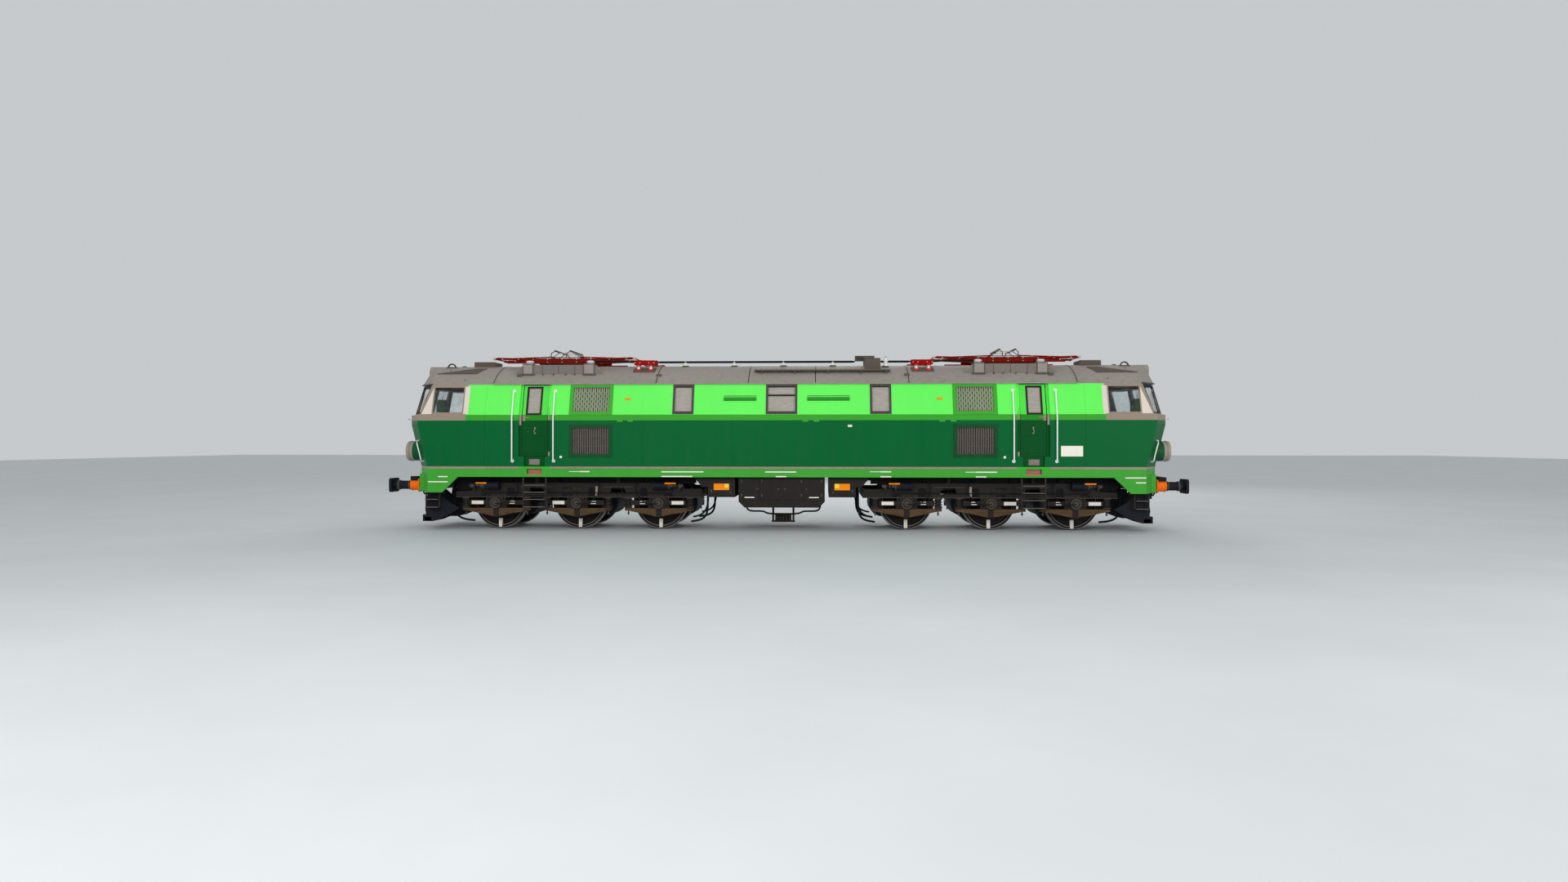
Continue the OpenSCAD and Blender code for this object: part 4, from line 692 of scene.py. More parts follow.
# ---------- body sides ----------
DOORS = [(f"cab_door_{n}_{side}", mirror(sx, sy)) for n, sx in ((1, -1), (2, 1))
         for side, sy in (("left", 1), ("right", -1))]
LEAN_OUT = Vector((0, EAVE - WAIST, LEAN)).normalized()     # outward from the leaning part of the wall
WINDOWS = [(-0.36, 0.36), (2.10, 2.58), (-2.58, -2.10)]
GLASS_Z = (WAIST + 0.015, EAVE - 0.015)
LOW_GRILLE_Z = (RAIL + 1.762, RAIL + 2.49)


def on_wall(x, z, out=0.0):
    """Point on the upper, leaning wall, raised off it by out"""
    return Vector((x, wall_y(z), z)) + LEAN_OUT * out


def wall_outline(x0, x1, z0, z1, out=0.0):
    return [on_wall(x0, z0, out), on_wall(x1, z0, out), on_wall(x1, z1, out), on_wall(x0, z1, out)]


def wall_pad(shape, x0, x1, z0, z1, out, depth):
    """A plate on the leaning wall"""
    shape.prism(wall_outline(x0, x1, z0, z1, out), LEAN_OUT * depth)


def window_frames():
    """Rubber frames of the side windows and the dark bars across their blinds"""
    rubber, dark = Shape(), Shape()
    for x0, x1 in WINDOWS:
        rubber.frame(wall_outline(x0 - 0.012, x1 + 0.012, GLASS_Z[0] - 0.008, GLASS_Z[1] + 0.004, -0.012),
                     LEAN_OUT, 0.052, 0.022)
        for z in (GLASS_Z[0] + 0.044, GLASS_Z[1] - 0.044):
            wall_pad(dark, x0 + 0.04, x1 - 0.04, z - 0.016, z + 0.016, -0.023, 0.025)
    wall_pad(dark, -0.32, 0.32, RAIL + 3.195, RAIL + 3.228, -0.023, 0.030)
    rubber.make("side_window_frames", "gasket", SIDES)
    dark.make("side_window_bars", "gasket_dark", SIDES)


def grille_frames():
    """Frames, cross pieces, screws and dark backs of the upper and lower grilles"""
    upper, lower, slots = Shape(), Shape(), Shape()
    x0, x1 = GRILLE_X - GRILLE_W / 2, GRILLE_X + GRILLE_W / 2
    z0, z1 = WAIST + 0.015, EAVE - 0.012
    upper.frame(wall_outline(x0 - 0.03, x1 + 0.03, z0 - 0.02, z1 + 0.01, -0.002), LEAN_OUT, 0.075, 0.014)
    inner = 0.065
    columns = 16
    pitch = (GRILLE_W - 2 * inner) / columns
    # staggered cross pieces close half of each slot between the slats
    for i in range(columns + 1):
        x = x0 + inner + i * pitch
        for k in range(5):
            low = z0 + inner + 0.02 + k * 0.125 + (0.0625 if i % 2 else 0.0)
            if low + 0.07 < z1 - inner:
                wall_pad(upper, x - 0.009, x + 0.009, low, low + 0.07, -0.022, 0.014)
        wall_pad(slots, x - 0.012, x + 0.012, z0 + inner, z1 - inner, -0.058, 0.004)
    y = HALF_W
    low, high = LOW_GRILLE_Z
    lower.frame([(x0 - 0.03, y - 0.002, low - 0.03), (x1 + 0.03, y - 0.002, low - 0.03),
                 (x1 + 0.03, y - 0.002, high + 0.03), (x0 - 0.03, y - 0.002, high + 0.03)], OUT, 0.085, 0.014)
    slots.block((x0 + 0.05, y - 0.060, low + 0.05), (x1 - 0.05, y - 0.056, high - 0.05))
    for z in (low + 0.24, low + 0.48):
        lower.block((x0 + 0.06, y - 0.040, z - 0.010), (x1 - 0.06, y - 0.028, z + 0.010))
    for x in [x0 + 0.01 + k * (GRILLE_W - 0.02) / 6 for k in range(7)]:
        for z in (low - 0.004, high + 0.004):
            lower.bolt((x, y + 0.011, z), OUT, 0.008, 0.005)
        for z in (z0 + 0.012, z1 - 0.018):
            upper.bolt(on_wall(x, z, 0.011), LEAN_OUT, 0.008, 0.005)
    upper.make("upper_grille_frames", "mid_green", CORNERS)
    lower.make("lower_grille_frames", "dark_green", CORNERS)
    slots.make("grille_backs", "navy", CORNERS)


def rain_bars():
    """Rounded rain deflectors between the windows, and their end caps"""
    shape = Shape()
    for x0, x1 in ((0.61, 1.61), (-1.37, -0.60)):
        profile = [(0.0, 0.045), (0.030, 0.032), (0.042, 0.0), (0.030, -0.032), (0.0, -0.045)]
        ring = [on_wall(x0, RAIL + 3.12 + dz, out - 0.002) for out, dz in profile]
        shape.prism(ring, (x1 - x0, 0, 0))
        wall_pad(shape, x0, x1, RAIL + 3.185, RAIL + 3.20, -0.001, 0.012)
    shape.make("rain_bars", "bar_green", SIDES)


def wall_plates():
    """Blank plates on the walls and the skirt"""
    orange, white = Shape(), Shape()
    for x in (3.66, -3.74):
        wall_pad(orange, x, x + 0.13, RAIL + 3.10, RAIL + 3.155, 0.0, 0.006)
    y = HALF_W
    for low, high in (((6.526, RAIL + 1.763), (7.035, RAIL + 2.009)),
                      ((5.20, RAIL + 1.715), (5.255, RAIL + 1.77)),
                      ((1.565, RAIL + 2.455), (1.665, RAIL + 2.505))):
        white.pad((low[0], y - 0.001, low[1]), (high[0], y + 0.006, high[1]), 0.002)
    white.pad((-5.29, y - 0.001, RAIL + 1.715), (-5.235, y + 0.006, RAIL + 1.77), 0.002)
    for x in (6.546, 7.015):
        for z in (RAIL + 1.783, RAIL + 1.989):
            white.bolt((x, y + 0.005, z), OUT, 0.007, 0.004)
    orange.make("orange_wall_plates", "plate_orange", SIDES)
    white.make("white_wall_plates", "plate_white", SIDES)


def skirt_marks():
    """Blank white strips along the skirt and the aprons"""
    shape = Shape()
    y = HALF_W - 0.001
    rows = [(-8.24, -8.00, 1.271), (-8.48, -8.00, 1.148), (-5.06, -4.80, 1.395), (-4.80, -4.57, 1.395),
            (-2.85, -1.85, 1.392), (-2.85, -2.11, 1.284), (-0.385, 0.35, 1.392), (-0.134, 0.117, 1.284),
            (2.08, 2.33, 1.399), (2.33, 2.58, 1.399), (2.33, 2.58, 1.282), (4.31, 4.555, 1.394), (4.555, 5.05,
                                                                                                  1.394),
            (4.555, 4.80, 1.279), (8.005, 8.485, 1.264), (8.25, 8.485, 1.150)]
    thin = (-5.06, 2.08, 4.31)
    for x0, x1, z in rows:
        half = 0.008 if x0 in thin else 0.014
        low = max(RAIL + z - half, SKIRT + 0.002) if abs(x0) < 7 else RAIL + z - half
        shape.pad((x0, y, low), (x1, y + 0.004, low + 2 * half), 0.0015)
    shape.make("skirt_marks", "plate_white", SIDES)


def body_seams():
    """Cover strips over the joints of the wall plates, the sill moulding, and lugs on the waist stripe"""
    shape, sill, light = Shape(), Shape(), Shape()
    y = HALF_W
    for x in (1.17, 3.30):
        shape.block((x - 0.012, y - 0.001, SILL + 0.02), (x + 0.012, y + 0.004, STRIPE - 0.01))
        wall_pad(light, x - 0.012, x + 0.012, WAIST + 0.012, EAVE - 0.012, -0.001, 0.005)
    for x0, x1 in ((0.0, RECESS[0] - 0.01), (RECESS[1] + 0.01, 7.06)):
        sill.block((x0, y - 0.001, LINE + 0.004), (x1, y + 0.010, SILL - 0.004))
    shape.make("wall_cover_strips", "livery_dark", CORNERS)
    light.make("upper_cover_strips", "livery_light", CORNERS)
    sill.make("sill_mouldings", "belt", CORNERS)
    stripe = Shape()
    for x in (-3.91, -3.66, 0.50, 0.76, 3.71, 3.97):
        stripe.block((x, y - 0.001, STRIPE - 0.035), (x + 0.13, y + 0.012, STRIPE + 0.004))
    stripe.make("waist_lugs", "mid_green", SIDES)


def recess_trim():
    """Tread plates in the foot niches, hinge covers and edge strips beside the doors"""
    tread, metal, frame_edge = Shape(), Shape(), Shape()
    y = HALF_W - RECESS_D
    tread.block((5.79, y - 0.002, RAIL + 1.555), (6.04, y + 0.003, RAIL + 1.69))
    for i in range(9):
        for k in range(5):
            x, z = 5.803 + i * 0.0275, RAIL + 1.568 + k * 0.0265
            lift = 0.010 if (i + k) % 2 else -0.010
            tread.prism([(x - 0.010, y + 0.002, z - lift - 0.003), (x + 0.010, y + 0.002, z + lift - 0.003),
                         (x + 0.010, y + 0.002, z + lift + 0.003), (x - 0.010, y + 0.002, z - lift + 0.003)],
                        (0, 0.004, 0))
    for z0, z1 in ((RAIL + 2.62, WAIST - 0.004), (RAIL + 1.76, RAIL + 1.87)):
        metal.pad((RECESS[0] + 0.002, y - 0.001, z0), (RECESS[0] + 0.052, y + 0.030, z1), 0.004)
    metal.pad((6.222, y - 0.001, RAIL + 2.50), (6.272, y + 0.036, WAIST - 0.004), 0.004)
    frame_edge.block((RECESS[0] - 0.018, HALF_W - 0.001, RAIL + 1.76),
                     (RECESS[0], HALF_W + 0.006, STRIPE - 0.004))
    frame_edge.block((RECESS[1], HALF_W - 0.001, RAIL + 1.76),
                     (RECESS[1] + 0.018, HALF_W + 0.006, STRIPE - 0.004))
    tread.make("niche_treads", "tread", CORNERS)
    metal.make("door_hinge_covers", "belt", CORNERS)
    frame_edge.make("door_recess_edges", "livery_dark", CORNERS)


def door_trim():
    """Window frame, blind, handle and latch of each door leaf"""
    x0, x1 = 5.765, 6.107
    depth = RECESS_D
    z0, z1 = WAIST + 0.022, RAIL + 3.426
    for body, place in DOORS:
        rubber = Shape()
        rubber.frame(wall_outline(x0 - 0.02, x1 + 0.02, z0 - 0.016, z1 + 0.018, -depth - 0.008), LEAN_OUT,
                     0.045, 0.014)
        rubber.make(f"{body}_window_frame", "gasket_dark", [place], body)
        blind = Shape()
        wall_pad(blind, x0 - 0.004, x1 + 0.004, z0, z1, -depth - 0.022, 0.010)
        blind.make(f"{body}_blind", "blind", [place], body)
        metal = Shape()
        y = HALF_W - depth
        metal.pad((6.03, y - 0.001, RAIL + 2.668), (6.192, y + 0.022, RAIL + 2.692), 0.003)
        metal.pad((6.13, y - 0.001, RAIL + 2.60), (6.194, y + 0.014, RAIL + 2.735), 0.004)
        metal.tube(smooth([(5.90, y - 0.002, RAIL + 2.31), (5.90, y + 0.030, RAIL + 2.325),
                           (5.915, y + 0.036, RAIL + 2.36), (5.885, y + 0.036, RAIL + 2.39),
                           (5.90, y + 0.030, RAIL + 2.415), (5.90, y - 0.002, RAIL + 2.43)], 3), 0.009)
        for z in (RAIL + 2.31, RAIL + 2.43):
            metal.turned((5.90, y - 0.001, z), OUT, [(0.022, 0), (0.022, 0.006), (0.014, 0.010)], 14)
        metal.make(f"{body}_handle", "belt", [place], body)
        panel = Shape()
        panel.pad((5.67, y - 0.001, RAIL + 1.83), (6.13, y + 0.006, RAIL + 2.25), 0.004)
        panel.make(f"{body}_panel", "door", [place], body)


def handrail_feet():
    """Round flanges with three screws where the handrails meet the walls"""
    shape = Shape()
    for x in (DOOR_X - 0.465, DOOR_X + 0.53):
        shape.turned((x, HALF_W - 0.001, RAIL + 1.65), OUT, [(0.040, 0), (0.040, 0.008), (0.024, 0.014)], 18)
        top = Vector((x, wall_y(RAIL + 3.32), RAIL + 3.32))
        shape.turned(top - LEAN_OUT * 0.001, LEAN_OUT, [(0.040, 0), (0.040, 0.008), (0.022, 0.016)], 18)
        for k in range(3):
            a = math.radians(90 + 120 * k)
            dx, dz = 0.031 * math.cos(a), 0.031 * math.sin(a)
            shape.bolt((x + dx, HALF_W + 0.006, RAIL + 1.65 + dz), OUT, 0.005, 0.004)
    shape.make("handrail_feet", "white", CORNERS)


BODY = [window_frames, grille_frames, rain_bars, wall_plates, skirt_marks, body_seams, recess_trim, door_trim,
        handrail_feet]


# ---------- cabs ----------
PANE_Z = (WAIST + 0.04, EAVE - 0.05)
LAMP_Y, LAMP_Z = 0.84, RAIL + 1.88               # middle of a headlight
RAKE = 0.195                       # how far the windscreen leans back from the waist to the eaves
SCREEN_OUT = Vector((EAVE - WAIST, 0, RAKE)).normalized()


def level(z):
    """0 at the waist, 1 at the eaves"""
    return (z - WAIST) / (EAVE - WAIST)


def on_screen(y, z, out=0.0):
    """Point on the windscreen's plane"""
    return Vector((NOSE_X - 0.08 - RAKE * level(z), y, z)) + SCREEN_OUT * out


def on_facet(s, z, out=0.0):
    """Point on the upper corner facet, s metres from its middle towards the side"""
    k = level(z)
    a = Vector((NOSE_X - 0.08 - RAKE * k, 0.88 - 0.08 * k, z))
    b = Vector((NOSE_X - 0.48 - 0.215 * k, 1.50 - 0.20 * k, z))
    return a.lerp(b, 0.5 + s / (b - a).length) + Vector((0.82, 0.53, 0.22)).normalized() * out


def cab_panes():
    """Rubber round every cab pane, and the beige frame of the side window"""
    rubber, beige = Shape(), Shape()
    low, high = PANE_Z
    rubber.frame([on_screen(0.035, low - 0.01), on_screen(0.77, low - 0.01), on_screen(0.77, high + 0.01),
                  on_screen(0.035, high + 0.01)], SCREEN_OUT, 0.034, 0.010)
    out = (on_facet(0.1, low) - on_facet(0, low)).cross(on_facet(0, high) - on_facet(0, low)).normalized()
    rubber.frame([on_facet(-0.27, low - 0.01), on_facet(0.27, low - 0.01), on_facet(0.27, high + 0.01),
                  on_facet(-0.27, high + 0.01)], out if out.x > 0 else -out, 0.030, 0.008)
    beige.frame(wall_outline(7.630, 8.398, low - 0.012, high + 0.010, -0.030), LEAN_OUT, 0.030, 0.034)
    wall_pad(rubber, 7.655, 8.375, high - 0.075, high - 0.050, -0.026, 0.016)
    rubber.make("cab_pane_rubbers", "gasket_dark", CORNERS)
    beige.make("cab_side_frames", "belt", CORNERS)


def wipers():
    """Pivot, arm and blade of each wiper"""
    shape = Shape()
    y = 0.40
    shape.turned(on_screen(y, WAIST + 0.015), SCREEN_OUT, [(0.020, 0), (0.020, 0.03), (0.010, 0.04)], 12)
    shape.tube([on_screen(y, WAIST + 0.015, 0.030), on_screen(y + 0.10, WAIST + 0.30, 0.026)], 0.008, 6)
    shape.tube([on_screen(y + 0.10, WAIST + 0.10, 0.016), on_screen(y + 0.10, WAIST + 0.56, 0.016)], 0.007, 6)
    shape.make("wipers", "navy", CORNERS)


def nose_trim():
    """Rail across the nose under the windscreen, its brackets, and the gutter over the windscreen"""
    rail, gutter = Shape(), Shape()
    z = RAIL + 2.655
    rail.tube(smooth([(NOSE_X - 0.004, -0.84, z), (NOSE_X + 0.065, -0.83, z), (NOSE_X + 0.080, -0.78, z),
                      (NOSE_X + 0.080, 0.78, z), (NOSE_X + 0.065, 0.83, z), (NOSE_X - 0.004, 0.84,
                                                                             z)], 2), 0.017)
    for y in (-0.30, 0.30):
        rail.rod((NOSE_X - 0.004, y, z), (NOSE_X + 0.078, y, z), 0.010)
    ring = [(8.46, 1.336), (8.905, 0.79), (8.905, -0.79), (8.46, -1.336), (8.42, -1.30), (8.86, -0.77),
            (8.86, 0.77),
            (8.42, 1.30)]
    gutter.prism([(x + 0.02, y, EAVE + 0.002) for x, y in ring], (0, 0, 0.026))
    rail.make("nose_rails", "white", ENDS)
    gutter.make("nose_gutters", "trim", ENDS)


def lamps_trim():
    """Reflectors, bulbs, lenses and rims of the headlights and top lamps"""
    dish, lens, rim, red = Shape(), Shape(), Shape(), Shape()
    for places, z, x, r in (((LAMP_Y, -LAMP_Y), LAMP_Z, 9.185, 0.208), ((0.0,), RAIL + 3.85, 8.970, 0.138)):
        for at in places:
            bowl = [(r, 0), (r, 0.002), (r * 0.30, 0.004), (r * 0.12, 0.010)]
            dish.turned((x - 0.001, at, z), FORE, bowl, 32)
            pane = [(r, 0), (r, 0.003), (r * 0.7, 0.010), (r * 0.2, 0.013)]
            lens.turned((x + 0.013, at, z), FORE, pane, 32)
            rim.ring((x + 0.010, at, z), FORE, r - 0.004, r + 0.030, 0.020, 40)
            for k in range(6):
                a = math.radians(30 + 60 * k)
                dy, dz = (r + 0.015) * math.cos(a), (r + 0.015) * math.sin(a)
                rim.bolt((x + 0.029, at + dy, z + dz), FORE, 0.007, 0.006)
    for at in (LAMP_Y, -LAMP_Y):
        rim.ring((9.135, at, LAMP_Z), FORE, 0.238, 0.250, 0.014, 40)
        red.turned((9.207, at, RAIL + 1.745), FORE, [(0.045, 0), (0.045, 0.006), (0.030, 0.012)], 20)
    dish.make("lamp_reflectors", "reflector", ENDS)
    lens.make("lamp_lenses", "lens", ENDS)
    rim.make("lamp_rims", "belt", ENDS)
    red.make("tail_lights", "tail", ENDS)


def cab_inside():
    """Console box, visors, ceiling, desk instruments and seat padding, as seen through the glass"""
    green, dark, amber, ceiling, dials, pads = (Shape() for _ in range(6))
    dial, knob = [(0.032, 0), (0.032, 0.012), (0.026, 0.015)], [(0.030, 0), (0.030, 0.03), (0.010, 0.04),
                                                                (0.010, 0.08)]
    lever = [(0.012, 0), (0.012, 0.09), (0.026, 0.09), (0.026, 0.12)]
    green.pad((8.64, -0.17, RAIL + 2.80), (8.83, 0.17, RAIL + 3.17), 0.02)
    green.pad((8.62, -0.10, RAIL + 2.58), (8.80, 0.10, RAIL + 2.81), 0.012)
    dark.turned((8.641, 0.0, RAIL + 3.06), (-1, 0, 0), [(0.065, 0), (0.065, 0.02), (0.045, 0.026)], 20)
    dark.turned((8.641, 0.0, RAIL + 2.90), (-1, 0, 0), [(0.040, 0), (0.040, 0.03), (0.030, 0.036)], 16)
    for y in (-0.60, 0.60):
        amber.pad((8.28, y - 0.30, RAIL + 3.385), (8.68, y + 0.30, RAIL + 3.40), 0.004)
        dark.pad((8.25, y - 0.22, RAIL + 2.59), (8.45, y + 0.22, RAIL + 2.66), 0.008)
        for k in range(5):
            dials.turned((8.30, y - 0.18 + 0.09 * k, RAIL + 2.66), (-0.3, 0, 1), dial, 16)
        dark.turned((8.12, y + 0.26, RAIL + 2.60), UP, lever, 12)
        dark.turned((8.12, y - 0.26, RAIL + 2.60), UP, knob, 12)
        pads.pad((7.47, y - 0.19, RAIL + 2.33), (7.505, y + 0.19, RAIL + 2.90), 0.012)
        pads.pad((7.50, y - 0.20, RAIL + 2.30), (7.90, y + 0.20, RAIL + 2.335), 0.012)
        for s in (-1, 1):
            dark.pad((7.48, y + s * 0.235 - 0.02, RAIL + 2.50), (7.80, y + s * 0.235 + 0.02, RAIL + 2.54),
                     0.008)
    # The ceiling's slate blue is painted shade
    ceiling.block((7.12, -1.18, EAVE - 0.028), (8.45, 1.18, EAVE - 0.018))
    ceiling.turned((7.8, 0.0, EAVE - 0.030), (0, 0, -1), [(0.16, 0), (0.16, 0.02), (0.12, 0.035)], 24)
    make_all(ENDS, ("cab_consoles", green, "console"), ("desk_controls", dark, "navy"),
             ("sun_visors", amber, "visor"), ("cab_ceilings", ceiling, "ceiling_shade"),
             ("desk_dials", dials, "white"), ("seat_pads", pads, "seat"))


CAB = [cab_panes, wipers, nose_trim, lamps_trim, cab_inside]


# ---------- roof ----------
POST_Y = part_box("disconnectors")[1].y - 0.05
POST_XS = (3.24, 3.54)             # posts of a disconnector
PEDESTALS = (PANTO_X - 0.75, PANTO_X + 0.75)
PEDESTAL_Y = 0.80
BUS_Y = -0.30                      # line of the busbar
PIVOT_X = 0.37                     # lower arms' pivots, from the middle of a pantograph
PANTO_Z = RAIL + 4.13
ARM = 1.4                          # length of an arm
FOLD = math.radians(2)             # slope of the folded arms


def arch_point(x, y, out=0.0):
    """Point on the roof's arch, raised off it by out"""
    z = roof_z(y)
    return Vector((x, y, z)) + Vector((0, y, z - ROOF_AXIS)).normalized() * out


def arch_strip(shape, x0, x1, y0, y1, out=0.004, steps=10):
    """A strip that follows the arch from y0 to y1"""
    rings = []
    for k in range(steps + 1):
        y = y0 + (y1 - y0) * k / steps
        rings.append([arch_point(x0, y, -0.006), arch_point(x1, y, -0.006), arch_point(x1, y, out),
                      arch_point(x0, y, out)])
    shape.solid(rings)


def roof_skin():
    """Seam lines, lap strips with rivets, dark side fairings on the cab roofs that are painted shade, and
    small hatches
    """
    seam, lap, shade_fairing, hatch, rivets = Shape(), Shape(), Shape(), Shape(), Shape()
    for x in (0.80, 3.02, 6.97):
        arch_strip(seam, x - 0.009, x + 0.009, 0.0, 1.285)
    for x in (3.02, 6.97):
        for s in (-1, 1):
            a, b = sorted((x + s * 0.010, x + s * 0.050))
            arch_strip(lap, a, b, 0.0, 1.285, 0.003)
            for k in range(13):
                y = 0.05 + 0.10 * k
                out = Vector((0, y, roof_z(y) - ROOF_AXIS)).normalized()
                rivets.turned(arch_point(x + s * 0.03, y, 0.002), out, [(0.008, 0), (0.006, 0.004)], 8)
    # Dark panel on each cab roof's shoulder: painted shade of the shoulder's facet
    outline = [(7.36, 3.94), (7.62, 3.94), (8.48, 3.79), (7.51, 3.79)]
    shade_fairing.prism([arch_point(x, roof_y(z), -0.012) for x, z in outline], (0, 0.016, 0.030))
    for x in (2.99, 6.41):
        y = roof_y(RAIL + 3.70)
        hatch.pad((x - 0.06, y - 0.06, RAIL + 3.655), (x + 0.06, y + 0.03, RAIL + 3.745), 0.006)
    for x, z in ((7.70, 3.60), (8.25, 3.88), (7.35, 3.98)):
        y = roof_y(RAIL + z)
        hatch.turned(arch_point(x, y, -0.002), (0, y, RAIL + z - ROOF_AXIS),
                     [(0.020, 0), (0.020, 0.008), (0.012, 0.014)], 12)
    seam.make("roof_seams", "navy", CORNERS)
    lap.make("roof_lap_strips", "roof", CORNERS)
    rivets.make("roof_rivets", "trim", CORNERS)
    shade_fairing.make("roof_shade_fairings", "trim", CORNERS)
    hatch.make("roof_hatches", "trim", CORNERS)


def pods():
    """Feet of the roof pods, seams on their skirts, and the lids over their pedestals"""
    feet, lids, seams = Shape(), Shape(), Shape()
    for x0, x1 in ((4.55, 4.86), (6.05, 6.37), (5.05, 5.09), (5.27, 5.31), (5.57, 5.61), (5.83, 5.87)):
        feet.pad((x0, 0.952, RAIL + 3.725), (x1, 1.015 if x1 - x0 > 0.1 else 0.985, RAIL + 3.765), 0.005)
    for x in PEDESTALS:
        lids.pad((x - 0.130, 0.63, RAIL + 3.985), (x + 0.130, 1.0, RAIL + 4.007), 0.006)
        lids.turned((x, PEDESTAL_Y, RAIL + 4.004), UP, [(0.110, 0), (0.110, 0.014), (0.098, 0.020)], 28)
        for seam in (x - 0.121, x + 0.121):
            seams.pad((seam - 0.004, 0.985, RAIL + 3.76), (seam + 0.004, 0.994, RAIL + 3.98), 0.001)
    for k in range(6):
        for z in (3.93, 3.79):
            lids.bolt((4.75 + 0.285 * k, 0.959, RAIL + z), OUT, 0.010, 0.008)
    for x in (PANTO_X - 0.40, PANTO_X, PANTO_X + 0.40):
        seams.pad((x - 0.004, 0.958, RAIL + 3.76), (x + 0.004, 0.963, RAIL + 3.96), 0.001)
    make_all(CORNERS, ("pod_feet", feet, "trim"), ("pod_lids", lids, "pod"), ("pod_seams", seams, "shadow"))


def insulator_caps():
    shape = Shape()
    for x in PEDESTALS:
        for z, r in ((4.062, 0.102), (4.086, 0.092)):
            for y in (PEDESTAL_Y, -PEDESTAL_Y):
                shape.turned((x, y, RAIL + z - 0.010), UP, [(r, 0), (r, 0.008), (0.055, 0.020)], 28)
    shape.make("insulator_caps", "porcelain", ENDS)


def disconnectors():
    """Disconnectors with the flanges and plates of their posts, and the boxes on the cab roofs"""
    red, metal, box, arms, plate = (Shape() for _ in range(5))
    for y in (-POST_Y, POST_Y):
        for x in POST_XS:
            red.turned((x, y, roof_z(y) - 0.030), UP, [(0.072, 0), (0.072, 0.050), (0.045, 0.064)], 20)
            red.turned((x, y, RAIL + 3.952), UP, [(0.040, 0), (0.062, 0.010), (0.062, 0.040)], 16)
        for x in (3.20, 3.39, 3.58):
            metal.turned((x, y, RAIL + 4.099), UP, [(0.020, 0), (0.020, 0.008), (0.011, 0.016)], 6)
        arms.pad((3.14, y - 0.05, RAIL + 3.984), (3.64, y + 0.05, RAIL + 4.100), 0.006)
    for x in POST_XS:
        arms.rod((x, -POST_Y, RAIL + 4.055), (x, POST_Y, RAIL + 4.055), 0.022, 14)
    for x in (3.145, 3.575):
        arms.pad((x, -0.36, RAIL + 4.020), (x + 0.06, -0.24, RAIL + 4.134), 0.005)
    arms.pad((3.16, -0.32, RAIL + 4.066), (3.62, -0.28, RAIL + 4.106), 0.005)
    for x in (3.16, 3.28, 3.50, 3.62):
        for s in (-1, 1):
            metal.bolt((x, s * (POST_Y + 0.051), RAIL + 4.04), (0, s, 0), 0.014, 0.012)
    box.pad((7.28, -0.30, RAIL + 3.960), (7.80, 0.30, RAIL + 4.112), 0.012)
    make_all(ENDS, ("post_flanges", red, "flange_red"), ("disconnector_bolts", metal, "brass"),
             ("roof_boxes", box, "trim"))
    switch = arms.make("disconnector_arms", "signal_red", ENDS)
    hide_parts("disconnectors")
    arch_strip(plate, 3.12, 3.66, POST_Y - 0.15, POST_Y + 0.12, 0.014)
    plate.make("disconnector_plates", "trim", CORNERS)


def breaker():
    """Housing, lid and louvres of the breaker"""
    lid, dark = Shape(), Shape()
    lid.pad((1.99, -0.43, RAIL + 4.155), (2.39, 0.31, RAIL + 4.172), 0.006)
    for k in range(5):
        dark.block((2.03, -0.4235, RAIL + 3.98 + 0.028 * k), (2.35, -0.419, RAIL + 3.992 + 0.028 * k))
        dark.block((1.80, -0.3835, RAIL + 4.125 + 0.018 * k), (1.98, -0.379, RAIL + 4.132 + 0.018 * k))
    for x in (2.02, 2.36):
        for z in (3.94, 4.13):
            lid.bolt((x, -0.420, RAIL + z), (0, -1, 0), 0.010, 0.008)
    foot = [(y, roof_z(y) - 0.012) for y in (-0.72, -0.62, -0.52, -0.418)]
    top = [(-0.418, RAIL + 4.135), (-0.66, RAIL + 4.135), (-0.72, RAIL + 4.09)]
    lid.prism([(2.00, y, z) for y, z in foot + top], (0.38, 0, 0))
    make_all(HERE, ("breaker_lids", lid, "trim"), ("breaker_louvres", dark, "shadow"))


def busbar():
    """Clamps, feet, bells and sleeves of the busbar, and the post beside the breaker"""
    cap, feet, bells, sleeves = (Shape() for _ in range(4))
    cap.turned((2.52, -0.47, RAIL + 4.150), UP, [(0.030, 0), (0.034, 0.012), (0.034, 0.045), (0.012, 0.060)],
               16)
    cap.rod((2.52, -0.47, RAIL + 4.175), (2.52, -0.32, RAIL + 4.100), 0.011)
    posts = [(x, BUS_Y) for x in (-2.445, -1.224, 0.0, 1.224)]
    for x, y in posts:
        cap.turned((x, y, RAIL + 4.060), UP, [(0.040, 0), (0.040, 0.012), (0.026, 0.022), (0.026, 0.052)], 16)
    bell = [(0.078, 0), (0.078, 0.014), (0.050, 0.026), (0.058, 0.034), (0.034, 0.052), (0.028, 0.082)]
    for x, y in posts + [(2.52, -0.47)]:
        feet.turned((x, y, roof_z(y) - 0.015), UP, [(0.085, 0), (0.085, 0.028), (0.066, 0.040)], 20)
        bells.turned((x, y, roof_z(y) + 0.022), UP, bell, 20)
    for x0, x1 in ((-3.10, 1.72), (2.42, 3.10)):
        sleeves.rod((x0, BUS_Y, RAIL + 4.090), (x1, BUS_Y, RAIL + 4.090), 0.027, 14)
    make_all(HERE, ("busbar_clamps", cap, "brass"), ("busbar_feet", feet, "trim"),
             ("busbar_bells", bells, "porcelain"), ("busbar_sleeves", sleeves, "rubber"))


